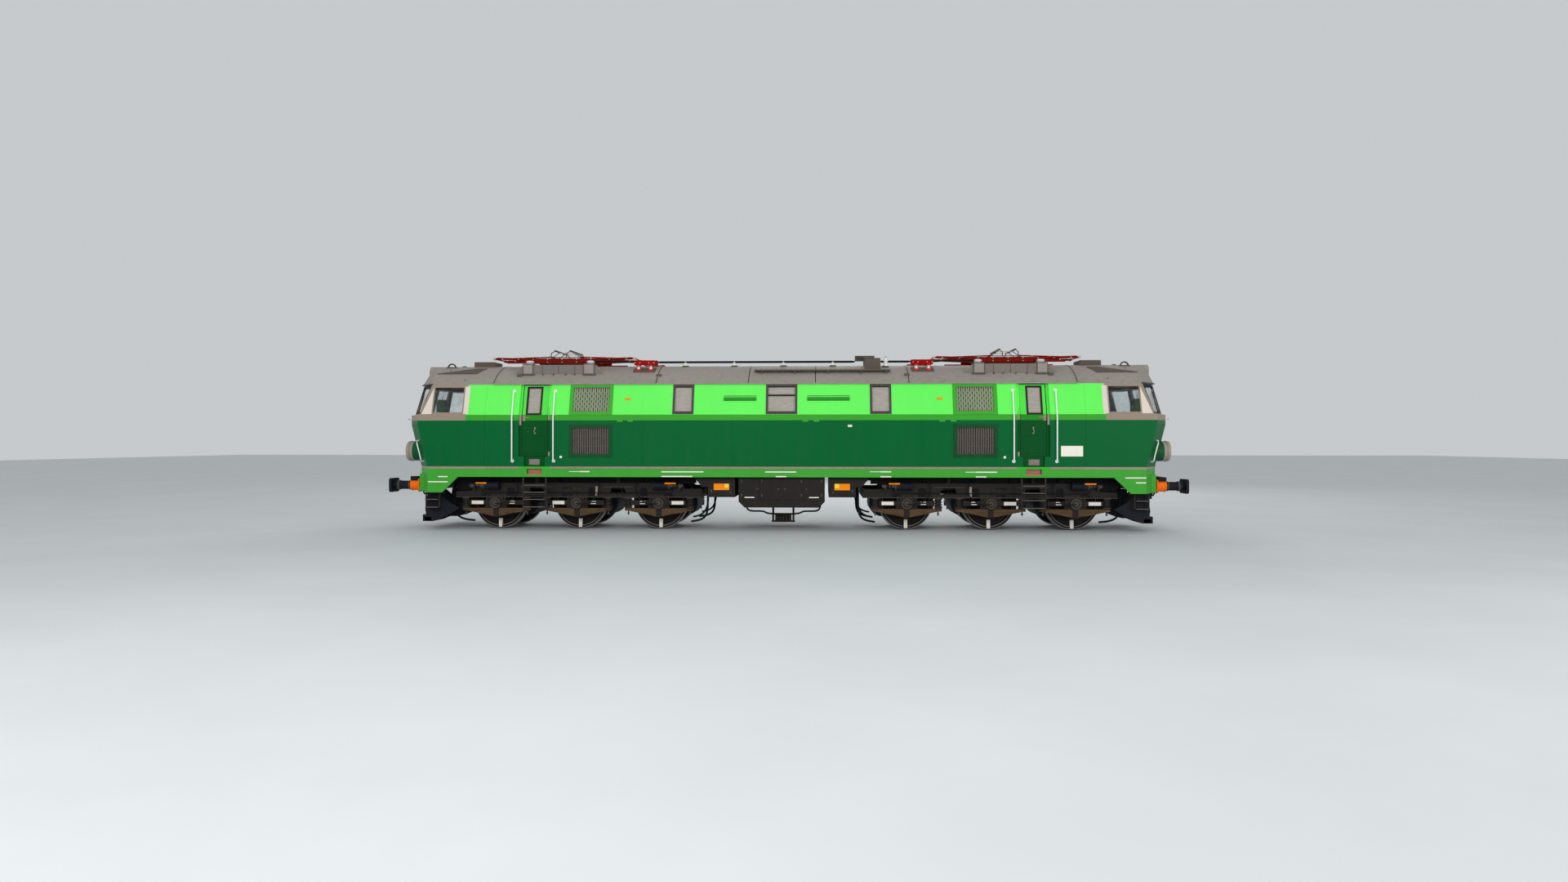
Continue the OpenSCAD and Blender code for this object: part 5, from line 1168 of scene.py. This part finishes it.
def walkways():
    """Battens on the planks"""
    shape = Shape()
    y = roof_y(RAIL + 3.82)
    for k in range(27):
        x = -0.64 + 0.12 * k
        shape.block((x, y + 0.008, RAIL + 3.849), (x + 0.03, y + 0.162, RAIL + 3.858))
    for x in (-0.50, 0.30, 1.10, 1.90, 2.50):
        shape.bolt((x, y + 0.164, RAIL + 3.835), OUT, 0.010, 0.008)
    shape.make("walkway_battens", "trim", SIDES)


def arms(n, arm, place):
    """Caps, stays and clips of one pair of pantograph arms, drawn at Y above zero"""
    both = [place, place @ mirror(1, -1)]
    knuckle = Vector((PIVOT_X + ARM * math.cos(FOLD), 0, PANTO_Z + ARM * math.sin(FOLD)))
    pivot = Vector((PIVOT_X, 0.545, PANTO_Z))
    caps, bars, clips = Shape(), Shape(), Shape()
    caps.turned(knuckle + Vector((0, 0.450, 0)), OUT, [(0.034, 0), (0.036, 0.010), (0.020, 0.022)], 16)
    caps.ring(knuckle + Vector((0, 0.404, 0)), OUT, 0.029, 0.035, 0.010, 20)
    for k in (0.25, 0.55, 0.85):
        at = pivot.lerp(knuckle + Vector((0, 0.42, 0)), k) + Vector((0, 0.016, 0))
        caps.turned(at, OUT, [(0.016, 0), (0.016, 0.008), (0.008, 0.011)], 12)
    bars.rod(pivot + Vector((0.10, -0.012, 0.004)), knuckle + Vector((-0.07, 0.424, 0)), 0.0265, 16)
    bars.tube([pivot + Vector((0.10, -0.02, 0.030)), knuckle + Vector((-0.06, 0.43, 0.027))], 0.007, 6)
    bars.ring(pivot + Vector((0, 0.034, 0)), OUT, 0.018, 0.036, 0.006, 20)
    caps.make(f"lower_arm_{n}_{arm}_caps", "brass", both, f"lower_arm_{n}_{arm}")
    bars.make(f"lower_arm_{n}_{arm}_stays", "arm_red", both, f"lower_arm_{n}_{arm}")
    top = Vector((PIVOT_X, 0.30, PANTO_Z + 2 * ARM * math.sin(FOLD)))
    for k in (0.2, 0.5, 0.8):
        at = (knuckle + Vector((0, 0.348, 0))).lerp(top, k)
        clips.ring(at - Vector((0.012, 0, 0)), FORE, 0.014, 0.021, 0.024, 14)
    clips.make(f"upper_arm_{n}_{arm}_clips", "brass", both, f"upper_arm_{n}_{arm}")


def pantographs():
    """Fittings of the arms; springs, bolts and side plates of the bases; fittings of the heads"""
    for n, middle in ((1, -PANTO_X), (2, PANTO_X)):
        for arm, s in (("a", 1), ("b", -1)):
            arms(n, arm, Matrix.Translation((middle, 0, 0)) @ mirror(s, 1))
        springs, bolts, sides, head = (Shape() for _ in range(4))
        z = RAIL + 4.122
        for y in (0.20, -0.20):
            springs.coil_along(Vector((middle - 0.62, y, z)), Vector((middle + 0.62, y, z)), 0.026, 0.007, 34)
            springs.rod((middle - 0.75, y, z), (middle + 0.75, y, z), 0.008)
        for x in (-0.72, -0.36, 0.0, 0.36, 0.72):
            for s in (-1, 1):
                for z in (4.075, 4.145):
                    bolts.turned((middle + x, s * 0.654, RAIL + z), (0, s, 0),
                                 [(0.013, 0), (0.013, 0.006), (0.007, 0.010)], 10)
        for s in (-1, 1):
            sides.pad((middle - 0.95, s * 0.646, RAIL + 4.052), (middle + 0.95, s * 0.655, RAIL + 4.168),
                      0.003)
        z = PANTO_Z + 2 * ARM * math.sin(FOLD) + 0.12
        for x in (middle - 0.19, middle + 0.19):
            for y in (-0.24, 0.24):
                head.pad((x - 0.020, y - 0.03, z - 0.024), (x + 0.020, y + 0.03, z + 0.003), 0.004)
            for y in (-0.56, -0.30, 0.0, 0.30, 0.56):
                head.pad((x - 0.024, y - 0.012, z + 0.002), (x + 0.024, y + 0.012, z + 0.012), 0.002)
        for y in (-0.24, 0.24):
            head.tube([(middle - 0.19, y, z - 0.016), (middle + 0.19, y, z - 0.016)], 0.008, 6)
        make_all(HERE, (f"pantograph_{n}_springs", springs, "carbon"),
                 (f"pantograph_{n}_base_bolts", bolts, "brass"),
                 (f"pantograph_{n}_side_plates", sides, "arm_red"))
        head.make(f"pantograph_head_{n}_fittings", "brass", body=f"pantograph_head_{n}")


ROOF = [roof_skin, pods, insulator_caps, disconnectors, breaker, busbar, walkways, pantographs]


# ---------- bogies, wheels and what hangs under the floor ----------
AXLES = AXLE_XS[3:]                # axles of the bogie at the +X end
AXLE_ENDS = list(zip(AXLES, (1, -1, -1)))        # with the side that the cable of each loops to
BRAKED = ((AXLES[0], -1), (AXLES[2], 1))         # outer axles, with the way to the bogie's end
SPRING_Y = 1.045
CYLINDER_Z = RAIL + 1.05
CYLINDER_Y = 1.205


def on_bogies(name, look, draw):
    """A piece of each bogie, drawn in the quarter with X and Y above zero"""
    for n, sx in ((1, -1), (2, 1)):
        shape = Shape()
        draw(shape)
        shape.make(f"{name}_{n}", look, [mirror(sx, 1), mirror(sx, -1)], f"bogie_{n}")


def springs(shape):
    """Coil springs under the side frames, two to each axle"""
    for x in AXLES:
        for s in (-0.75, 0.75):
            shape.coil((x + s, SPRING_Y, RAIL + 0.532), 0.228, 0.087, 0.015, 3.6)


def spring_seats(shape):
    """Plates above and below each spring, and the bolt that hangs under the leaf beam's end"""
    for x in AXLES:
        for s in (-0.75, 0.75):
            shape.turned((x + s, SPRING_Y, RAIL + 0.520), UP, [(0.100, 0), (0.106, 0.004), (0.106, 0.012)],
                         20)
            shape.turned((x + s, SPRING_Y, RAIL + 0.741), UP, [(0.106, 0), (0.106, 0.012), (0.100, 0.018)],
                         20)
            shape.turned((x + s, SPRING_Y, RAIL + 0.335), UP,
                         [(0.014, 0), (0.014, 0.025), (0.028, 0.026), (0.028, 0.055), (0.017, 0.056),
                          (0.017, 0.12)], 10)


def leaves(shape):
    """Leaves of the beams, each shorter than the one above it"""
    for x in AXLES:
        for k in range(5):
            reach = min(0.808, 0.06 + 5 * (0.2 - 0.04 * (k + 1)))
            top = RAIL + 0.499 - 0.04 * k
            shape.pad((x - reach, 1.100, top - 0.034), (x + reach, 1.111, top), 0.003)


def buckles(shape):
    """Clamp of the leaf beam, stay between the horn guides, and the guides' bolts"""
    for x in AXLES:
        shape.pad((x - 0.066, 1.09, RAIL + 0.286), (x + 0.066, 1.124, RAIL + 0.497), 0.006)
        shape.pad((x - 0.262, 1.117, RAIL + 0.512), (x + 0.262, 1.137, RAIL + 0.546), 0.004)
        for s in (-1, 1):
            shape.bolt((x + s * 0.235, 1.136, RAIL + 0.529), OUT, 0.013, 0.012)
            for z in (0.60, 0.68):
                shape.bolt((x + s * 0.215, 1.119, RAIL + z), OUT, 0.011, 0.010)
            shape.bolt((x + s * 0.034, 1.123, RAIL + 0.33), OUT, 0.011, 0.010)
            shape.bolt((x + s * 0.034, 1.123, RAIL + 0.45), OUT, 0.011, 0.010)


def axle_caps(shape):
    """Rings, caps and screws of the axleboxes"""
    for x in AXLES:
        shape.ring((x, 1.174, AXLE_Z), OUT, 0.098, 0.124, 0.012)
        shape.turned((x, 1.174, AXLE_Z), OUT, [(0.066, 0), (0.066, 0.020), (0.054, 0.030), (0.018, 0.034)],
                     20)
        for k in range(8):
            a = math.radians(22.5 + 45 * k)
            shape.bolt((x + 0.082 * math.cos(a), 1.174, AXLE_Z + 0.082 * math.sin(a)), OUT, 0.010, 0.014)


def axle_hoses(shape):
    """Earthing cables that loop from the axle caps up to the frame"""
    for x, s in AXLE_ENDS:
        way = [(0.0, 1.205, 0.0), (0.07, 1.224, -0.010), (0.22, 1.214, -0.004), (0.40, 1.196, 0.07),
               (0.52, 1.186, 0.22),
               (0.545, 1.182, 0.40), (0.50, 1.180, 0.53)]
        shape.tube(smooth([(x + s * a, b, AXLE_Z + c) for a, b, c in way], 3), 0.012, 6)


def axle_arms(shape):
    """Arms between the axleboxes and the springs"""
    for x in AXLES:
        for s in (-1, 1):
            shape.pad((x + s * 0.165, 1.02, RAIL + 0.575), (x + s * 0.66, 1.112, RAIL + 0.690), 0.006)


def axle_labels(shape):
    """White painted patches on the arms"""
    for x, s in AXLE_ENDS:
        shape.pad((x - s * 0.31, 1.110, RAIL + 0.590), (x - s * 0.60, 1.116, RAIL + 0.675), 0.002)
        for z in (0.600, 0.655):
            shape.pad((x + s * 0.33, 1.110, RAIL + z), (x + s * 0.46, 1.116, RAIL + z + 0.018), 0.002)


def frame_ribs(shape):
    """Ribs over the frame's openings, its lower flange and the bolts along it"""
    y = FRAME_Y - 0.001
    for x in (BOGIE_X - PITCH / 2, BOGIE_X + PITCH / 2):
        shape.pad((x - 0.37, y, RAIL + 1.006), (x + 0.37, y + 0.028, RAIL + 1.024), 0.003)
        for k in range(6):
            shape.bolt((x - 0.33 + 0.132 * k, y, RAIL + 0.815), OUT, 0.010, 0.009)
    shape.pad((BOGIE_X - 3.03, y, RAIL + 0.761), (BOGIE_X + 2.96, y + 0.022, RAIL + 0.776), 0.003)
    for x in AXLES:
        for k in (-0.21, -0.07, 0.07, 0.21):
            for z in (0.80, 0.96):
                shape.bolt((x + k, y, RAIL + z), OUT, 0.012, 0.010)


def frame_pocket_shadows(shape):
    """Thin dark plates on the side frames beside the axles: painted shade of the frame's pockets"""
    y = FRAME_Y - 0.001
    for x, s in AXLE_ENDS:
        for z0, z1 in ((0.965, 1.005), (0.785, 0.845)):
            a, b = sorted((x - s * 0.13, x - s * 0.36))
            shape.prism([(a, y, RAIL + z0), (b, y, RAIL + z0), (b, y, RAIL + z1), (a, y, RAIL + z1)],
                        (0, 0.003, 0))
        shape.prism([(x + s * a, y, RAIL + z) for a, z in
                     ((0.27, 0.79), (0.43, 0.79), (0.47, 0.90), (0.43, 1.00), (0.30, 1.00),
                      (0.27, 0.90))], (0, 0.003, 0))


def frame_bars(shape):
    """Upright bar on the side frame"""
    shape.pad((4.46, FRAME_Y - 0.001, RAIL + 0.785), (4.52, FRAME_Y + 0.016, RAIL + 1.03), 0.004)


def frame_pipes(shape):
    """Air pipe along the side frame, with its clips and the drops to the brake cylinders"""
    z, y = RAIL + 0.872, FRAME_Y + 0.022
    shape.tube([(BOGIE_X - 2.30, y, z), (BOGIE_X + 2.30, y, z)], 0.011, 6)
    for x in (BOGIE_X - PITCH, BOGIE_X + PITCH):
        s = 1 if x > BOGIE_X else -1
        shape.tube(smooth([(x + s * 0.30, y, z), (x + s * 0.34, y + 0.02, z + 0.05),
                           (x + s * 0.30, CYLINDER_Y, z + 0.12),
                           (x + s * 0.24, CYLINDER_Y, CYLINDER_Z - 0.07)], 3), 0.009, 6)
    for k in range(9):
        x = BOGIE_X - 2.2 + 0.55 * k
        shape.pad((x - 0.012, FRAME_Y - 0.001, z - 0.024), (x + 0.012, y + 0.015, z + 0.024), 0.003)


def cylinder_parts(x, s, parts):
    """Turned sections along X from the outer axle, towards the bogie's end: (from, to, radius) each"""
    return [((x + s * a, CYLINDER_Y, CYLINDER_Z), (x + s * b, CYLINDER_Y, CYLINDER_Z), r) for a, b,
            r in parts]


def brake_drums(shape):
    """Brake cylinders with their flanges and bolts"""
    for x, s in BRAKED:
        for a, b, r in cylinder_parts(x, s, ((-0.10, 0.155, 0.100), (-0.115, -0.095, 0.106),
                                             (0.150, 0.170, 0.106))):
            shape.rod(a, b, r, 24)
        for k in range(8):
            q = math.radians(22.5 + 45 * k)
            shape.bolt((x + s * 0.168, CYLINDER_Y + 0.09 * math.cos(q), CYLINDER_Z + 0.09 * math.sin(q)),
                       (s, 0, 0), 0.010,
                       0.012)


def brake_rods(shape):
    """Plungers, collars and brackets behind the brake cylinders"""
    for x, s in BRAKED:
        for a, b, r in cylinder_parts(x, s, ((0.258, 0.285, 0.092), (0.285, 0.36, 0.050),
                                             (0.40, 0.425, 0.044),
                                             (0.50, 0.60, 0.042))):
            shape.rod(a, b, r, 16)
        shape.pad((x + s * 0.50, FRAME_Y - 0.001, CYLINDER_Z - 0.05),
                  (x + s * 0.56, CYLINDER_Y + 0.05, CYLINDER_Z + 0.012), 0.004)


def brake_labels(shape):
    """Orange bands and strips on the brake cylinders"""
    for x, s in BRAKED:
        for reach, y0, y1, z0, z1, edge in ((0.255, 0.03, 0.092, 0.040, 0.078, 0.003),
                                            (0.44, 0.085, 0.095, 0.042, 0.076, 0.002)):
            shape.pad((x + s * 0.175, CYLINDER_Y + y0, CYLINDER_Z + z0),
                      (x + s * reach, CYLINDER_Y + y1, CYLINDER_Z + z1), edge)


def upper_plates(shape):
    """Dark plates over the side frames, painted shade that closes the view under the floor"""
    for a, b in zip((-2.44, -1.60, -0.45, 0.45, 1.60), (-1.62, -0.47, 0.43, 1.58, 2.44)):
        shape.pad((BOGIE_X + a, 1.00, RAIL + 1.09), (BOGIE_X + b, 1.02, RAIL + 1.295), 0.004)
    for outline in (((-2.445, 1.09), (-2.85, 1.09), (-2.85, 1.26), (-2.81, 1.295), (-2.445, 1.295)),
                    ((2.445, 0.93), (2.98, 0.93), (3.02, 1.05), (2.90, 1.295), (2.445, 1.295))):
        shape.prism([(BOGIE_X + x, 1.00, RAIL + z) for x, z in outline], (0, 0.02, 0))
    for k in range(11):
        shape.bolt((BOGIE_X - 2.35 + 0.47 * k, 1.019, RAIL + 1.25), OUT, 0.012, 0.010)


def bogies():
    for name, look, draw in (
            ("coil_springs", "spring", springs), ("spring_seats", "edge", spring_seats), ("leaves", "leaf",
                                                                                          leaves),
            ("leaf_buckles", "gear", buckles), ("axle_caps", "edge", axle_caps), ("axle_hoses", "rubber",
                                                                                  axle_hoses),
            ("axle_arms", "gear", axle_arms), ("axle_labels", "mark_white", axle_labels),
            ("frame_ribs", "edge", frame_ribs), ("frame_pocket_shadows", "shadow", frame_pocket_shadows),
            ("frame_bars", "belt", frame_bars), ("frame_pipes", "rubber", frame_pipes),
            ("brake_drums", "navy", brake_drums), ("brake_rods", "edge", brake_rods),
            ("brake_labels", "plate_orange", brake_labels), ("frame_shadow_plates", "shadow", upper_plates)):
        on_bogies(name, look, draw)


def wheels():
    """Rim line, web bolts and a white reference mark on every wheel"""
    for i, x in enumerate(AXLE_XS, 1):
        rim, bolts, mark = Shape(), Shape(), Shape()
        rim.ring((x, 0.785, AXLE_Z), OUT, 0.561, 0.571, 0.004, 72)
        bolts.ring((x, 0.728, AXLE_Z), OUT, 0.165, 0.205, 0.012, 40)
        for k in range(12):
            a = math.radians(30 * k)
            bolts.bolt((x + 0.25 * math.cos(a), 0.728, AXLE_Z + 0.25 * math.sin(a)), OUT, 0.014, 0.014)
        mark.pad((x - 0.042, 0.727, AXLE_Z - 0.612), (x + 0.042, 0.792, AXLE_Z - 0.40), 0.004)
        rim.make(f"wheelset_{i}_rim_lines", "rim", SIDES, f"wheelset_{i}")
        bolts.make(f"wheelset_{i}_web_bolts", "edge", SIDES, f"wheelset_{i}")
        mark.make(f"wheelset_{i}_marks", "mark_white", SIDES, f"wheelset_{i}")


def underfloor():
    """Hatches, brackets and plates of the boxes between the bogies"""
    hatch, fittings, orange, white, yellow = Shape(), Shape(), Shape(), Shape(), Shape()
    for x0, x1 in ((0.03, 0.50), (0.53, 0.98)):
        hatch.pad((x0, 1.369, RAIL + 0.72), (x1, 1.380, RAIL + 1.235), 0.004)
        for z in (0.80, 1.14):
            fittings.pad((x1 - 0.045, 1.379, RAIL + z), (x1 - 0.012, 1.392, RAIL + z + 0.07), 0.003)
        fittings.turned((x0 + 0.05, 1.379, RAIL + 0.98), OUT, [(0.024, 0), (0.024, 0.006), (0.012, 0.014)],
                        14)
    hatch.pad((1.165, 1.339, RAIL + 0.83), (1.71, 1.349, RAIL + 1.235), 0.004)
    fittings.pad((1.66, 1.348, RAIL + 0.90), (1.70, 1.360, RAIL + 0.97), 0.003)
    fittings.turned((1.22, 1.348, RAIL + 0.90), OUT, [(0.022, 0), (0.022, 0.006), (0.010, 0.014)], 14)
    hatch.prism([(1.755, 1.30, RAIL + 1.26), (2.10, 1.30, RAIL + 1.26), (1.90, 1.30, RAIL + 1.03),
                 (1.755, 1.30, RAIL + 1.03)], (0, 0.03, 0))
    for k in range(9):
        fittings.bolt((0.08 + 0.11 * k, 1.369, RAIL + 1.275), OUT, 0.010, 0.009)
    orange.pad((1.25, 1.348, RAIL + 0.955), (1.62, 1.354, RAIL + 1.110), 0.002)
    yellow.pad((1.262, 1.353, RAIL + 1.008), (1.362, 1.357, RAIL + 1.104), 0.001)
    white.pad((0.65, 1.379, RAIL + 0.772), (0.88, 1.384, RAIL + 0.796), 0.001)
    hatch.make("underfloor_hatches", "gear", CORNERS)
    fittings.make("underfloor_fittings", "edge", CORNERS)
    orange.make("underfloor_plates", "plate_orange", CORNERS)
    yellow.make("underfloor_labels", "plate_yellow", CORNERS)
    white.make("underfloor_dashes", "plate_white", CORNERS)
    hoses = Shape()
    hoses.tube(smooth([(1.81, 0.86, RAIL + 1.33), (1.81, 0.86, RAIL + 0.90), (1.82, 0.86, RAIL + 0.62),
                       (1.89, 0.86, RAIL + 0.42), (2.02, 0.86, RAIL + 0.32), (2.18, 0.86,
                                                                              RAIL + 0.28)], 4), 0.022)
    hoses.make("inner_sand_hoses", "rubber", CORNERS)
    grid = Shape()
    for k in range(7):
        grid.block((-0.24 + 0.078 * k, 0.436, RAIL + 0.165), (-0.228 + 0.078 * k, 0.448, RAIL + 0.295))
    grid.make("sensor_grid", "edge", [mirror(1, -1)])


def ends():
    """Buffer steps, flanges and bolts, coupling screw, cocks and guard shoes"""
    navy, edge, orange, beige, red, gear = (Shape() for _ in range(6))
    y, z = 0.875, RAIL + 1.045
    navy.pad((8.97, y - 0.10, z + 0.118), (9.14, y + 0.10, z + 0.215), 0.006)
    orange.ring((9.105, y, z), FORE, 0.118, 0.137, 0.030)
    edge.ring((9.16, y, z), FORE, 0.100, 0.114, 0.035)
    edge.ring((9.42, y, z), FORE, 0.100, 0.118, 0.045)
    for sy in (-1, 1):
        for sz in (-1, 1):
            navy.bolt((8.919, y + sy * 0.135, z + sz * 0.130), FORE, 0.018, 0.016)
    orange.turned((8.885, 0.62, RAIL + 1.305), FORE, [(0.030, 0), (0.030, 0.04), (0.018, 0.065)], 14)
    beige.pad((8.885, 0.42, RAIL + 1.497), (8.985, 0.66, RAIL + 1.537), 0.005)
    for hose in (0.33, 0.47):
        red.turned((8.945, hose + 0.05, RAIL + 0.93), FORE, [(0.031, 0), (0.031, 0.022), (0.016, 0.03)], 14)
        edge.turned((8.945, hose, RAIL + 1.18), FORE, [(0.034, 0), (0.034, 0.02), (0.022, 0.03)], 14)
        red.pad((8.905, hose - 0.012, RAIL + 1.205), (8.975, hose + 0.012, RAIL + 1.222), 0.003)
    for x in (8.53, 8.56):
        gear.pad((x, 1.088, 0.200), (x + 0.21, 1.096, 0.300), 0.003)
    for k in range(4):
        edge.bolt((8.24 + 0.1 * k, 1.089, RAIL + 0.86 - 0.05 * k), OUT, 0.014, 0.012)
        edge.bolt((8.889, 0.12 + 0.2 * k, RAIL + 0.95), FORE, 0.013, 0.012)
    make_all(CORNERS, ("buffer_steps", navy, "navy"), ("end_fittings", edge, "edge"),
             ("buffer_rings", orange, "orange"), ("nose_footholds", beige, "belt"),
             ("hose_cocks", red, "signal_red"), ("guard_shoes", gear, "gear"))
    screw = Shape()
    profile = [(0.020, 0)]
    for k in range(12):
        profile += [(0.020, 0.012 + 0.02 * k), (0.025, 0.018 + 0.02 * k)]
    screw.turned((9.062, 0, RAIL + 0.75), (-0.08, 0, 1), profile + [(0.020, 0.262)], 14)
    screw.rod((9.05, -0.14, RAIL + 0.86), (9.05, 0.14, RAIL + 0.86), 0.012)
    screw.make("coupling_screws", "edge", ENDS)


def step_pads():
    """Chequered tread in the skirt's foot hole, and treads of the ladder rungs and corner steps"""
    pink, grey = Shape(), Shape()
    pink.pad((5.728, 1.438, RAIL + 1.322), (6.074, 1.446, RAIL + 1.456), 0.003)
    for i in range(11):
        pink.rod((5.742 + 0.032 * i, 1.447, RAIL + 1.33), (5.742 + 0.032 * i, 1.447, RAIL + 1.448), 0.004, 6)
    for z in (0.540, 0.720, 0.890, 1.060):
        grey.pad((5.645, 1.470, RAIL + z + 0.003), (6.157, 1.523, RAIL + z + 0.020), 0.003)
    for z in (0.512, 0.700):
        grey.pad((8.335, 1.288, RAIL + z + 0.003), (8.615, 1.294, RAIL + z + 0.021), 0.002)
    for x in (5.626, 6.176):
        for z in (1.20, 1.14):
            grey.bolt((x, 1.483, RAIL + z), OUT, 0.009, 0.008)
    pink.make("skirt_step_pads", "step", CORNERS)
    grey.make("rung_treads", "rung", CORNERS)


GEAR = [bogies, wheels, underfloor, ends, step_pads]


# ---------- stage, camera and light ----------
CAMERA_AT = Vector((0.973, -23.80, RAIL + 2.124))
CAMERA_YAW = 2.34       # degrees, to the left of straight ahead
VIEW_ANGLE = 50.0       # from the bottom of the picture to its top, in degrees
SENSOR = 36.0
PICTURE = (1920, 1080)


def floor():
    shape = Shape()
    shape.block((-90, -60, -0.05), (90, 120, -0.001))
    piece = shape.make("studio_floor", "stage")
    piece.parent = None
    del piece["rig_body"]


def world():
    """Even pale surroundings"""
    sky = bpy.data.worlds.new("studio_world")
    sky.use_nodes = True
    shade = sky.node_tree.nodes["Background"]
    shade.inputs["Color"].default_value = (0.86, 0.89, 0.92, 1)
    shade.inputs["Strength"].default_value = 0.66
    bpy.context.scene.world = sky


def lamp(name, at, to, size, power):
    light = bpy.data.lights.new(name, "AREA")
    light.shape = "RECTANGLE"
    light.size, light.size_y = size
    light.energy = power
    lamp_object = bpy.data.objects.new(name, light)
    bpy.context.scene.collection.objects.link(lamp_object)
    lamp_object.location = at
    lamp_object.rotation_mode = "QUATERNION"
    lamp_object.rotation_quaternion = (Vector(to) - Vector(at)).to_track_quat("-Z", "Y")


def lights():
    lamp("key_light", (-6, -26, 11), (0, 0, 2), (16, 8), 2300)
    lamp("fill_light", (16, -20, 5), (0, 0, 2), (10, 7), 900)
    lamp("back_light", (4, 22, 13), (0, 0, 2), (14, 7), 1500)


def camera():
    data = bpy.data.cameras.new("camera")
    data.sensor_width = SENSOR
    half_high = math.tan(math.radians(VIEW_ANGLE / 2))
    data.lens = SENSOR / 2 / (half_high * PICTURE[0] / PICTURE[1])
    data.clip_end = 400
    eye = bpy.data.objects.new("camera", data)
    bpy.context.scene.collection.objects.link(eye)
    eye.location = CAMERA_AT
    eye.rotation_euler = (math.radians(90), 0, math.radians(CAMERA_YAW))
    bpy.context.scene.camera = eye


dress()
for build in BODY + CAB + ROOF + GEAR:
    build()
floor()
world()
lights()
camera()
bpy.context.scene.view_settings.view_transform = "Standard"
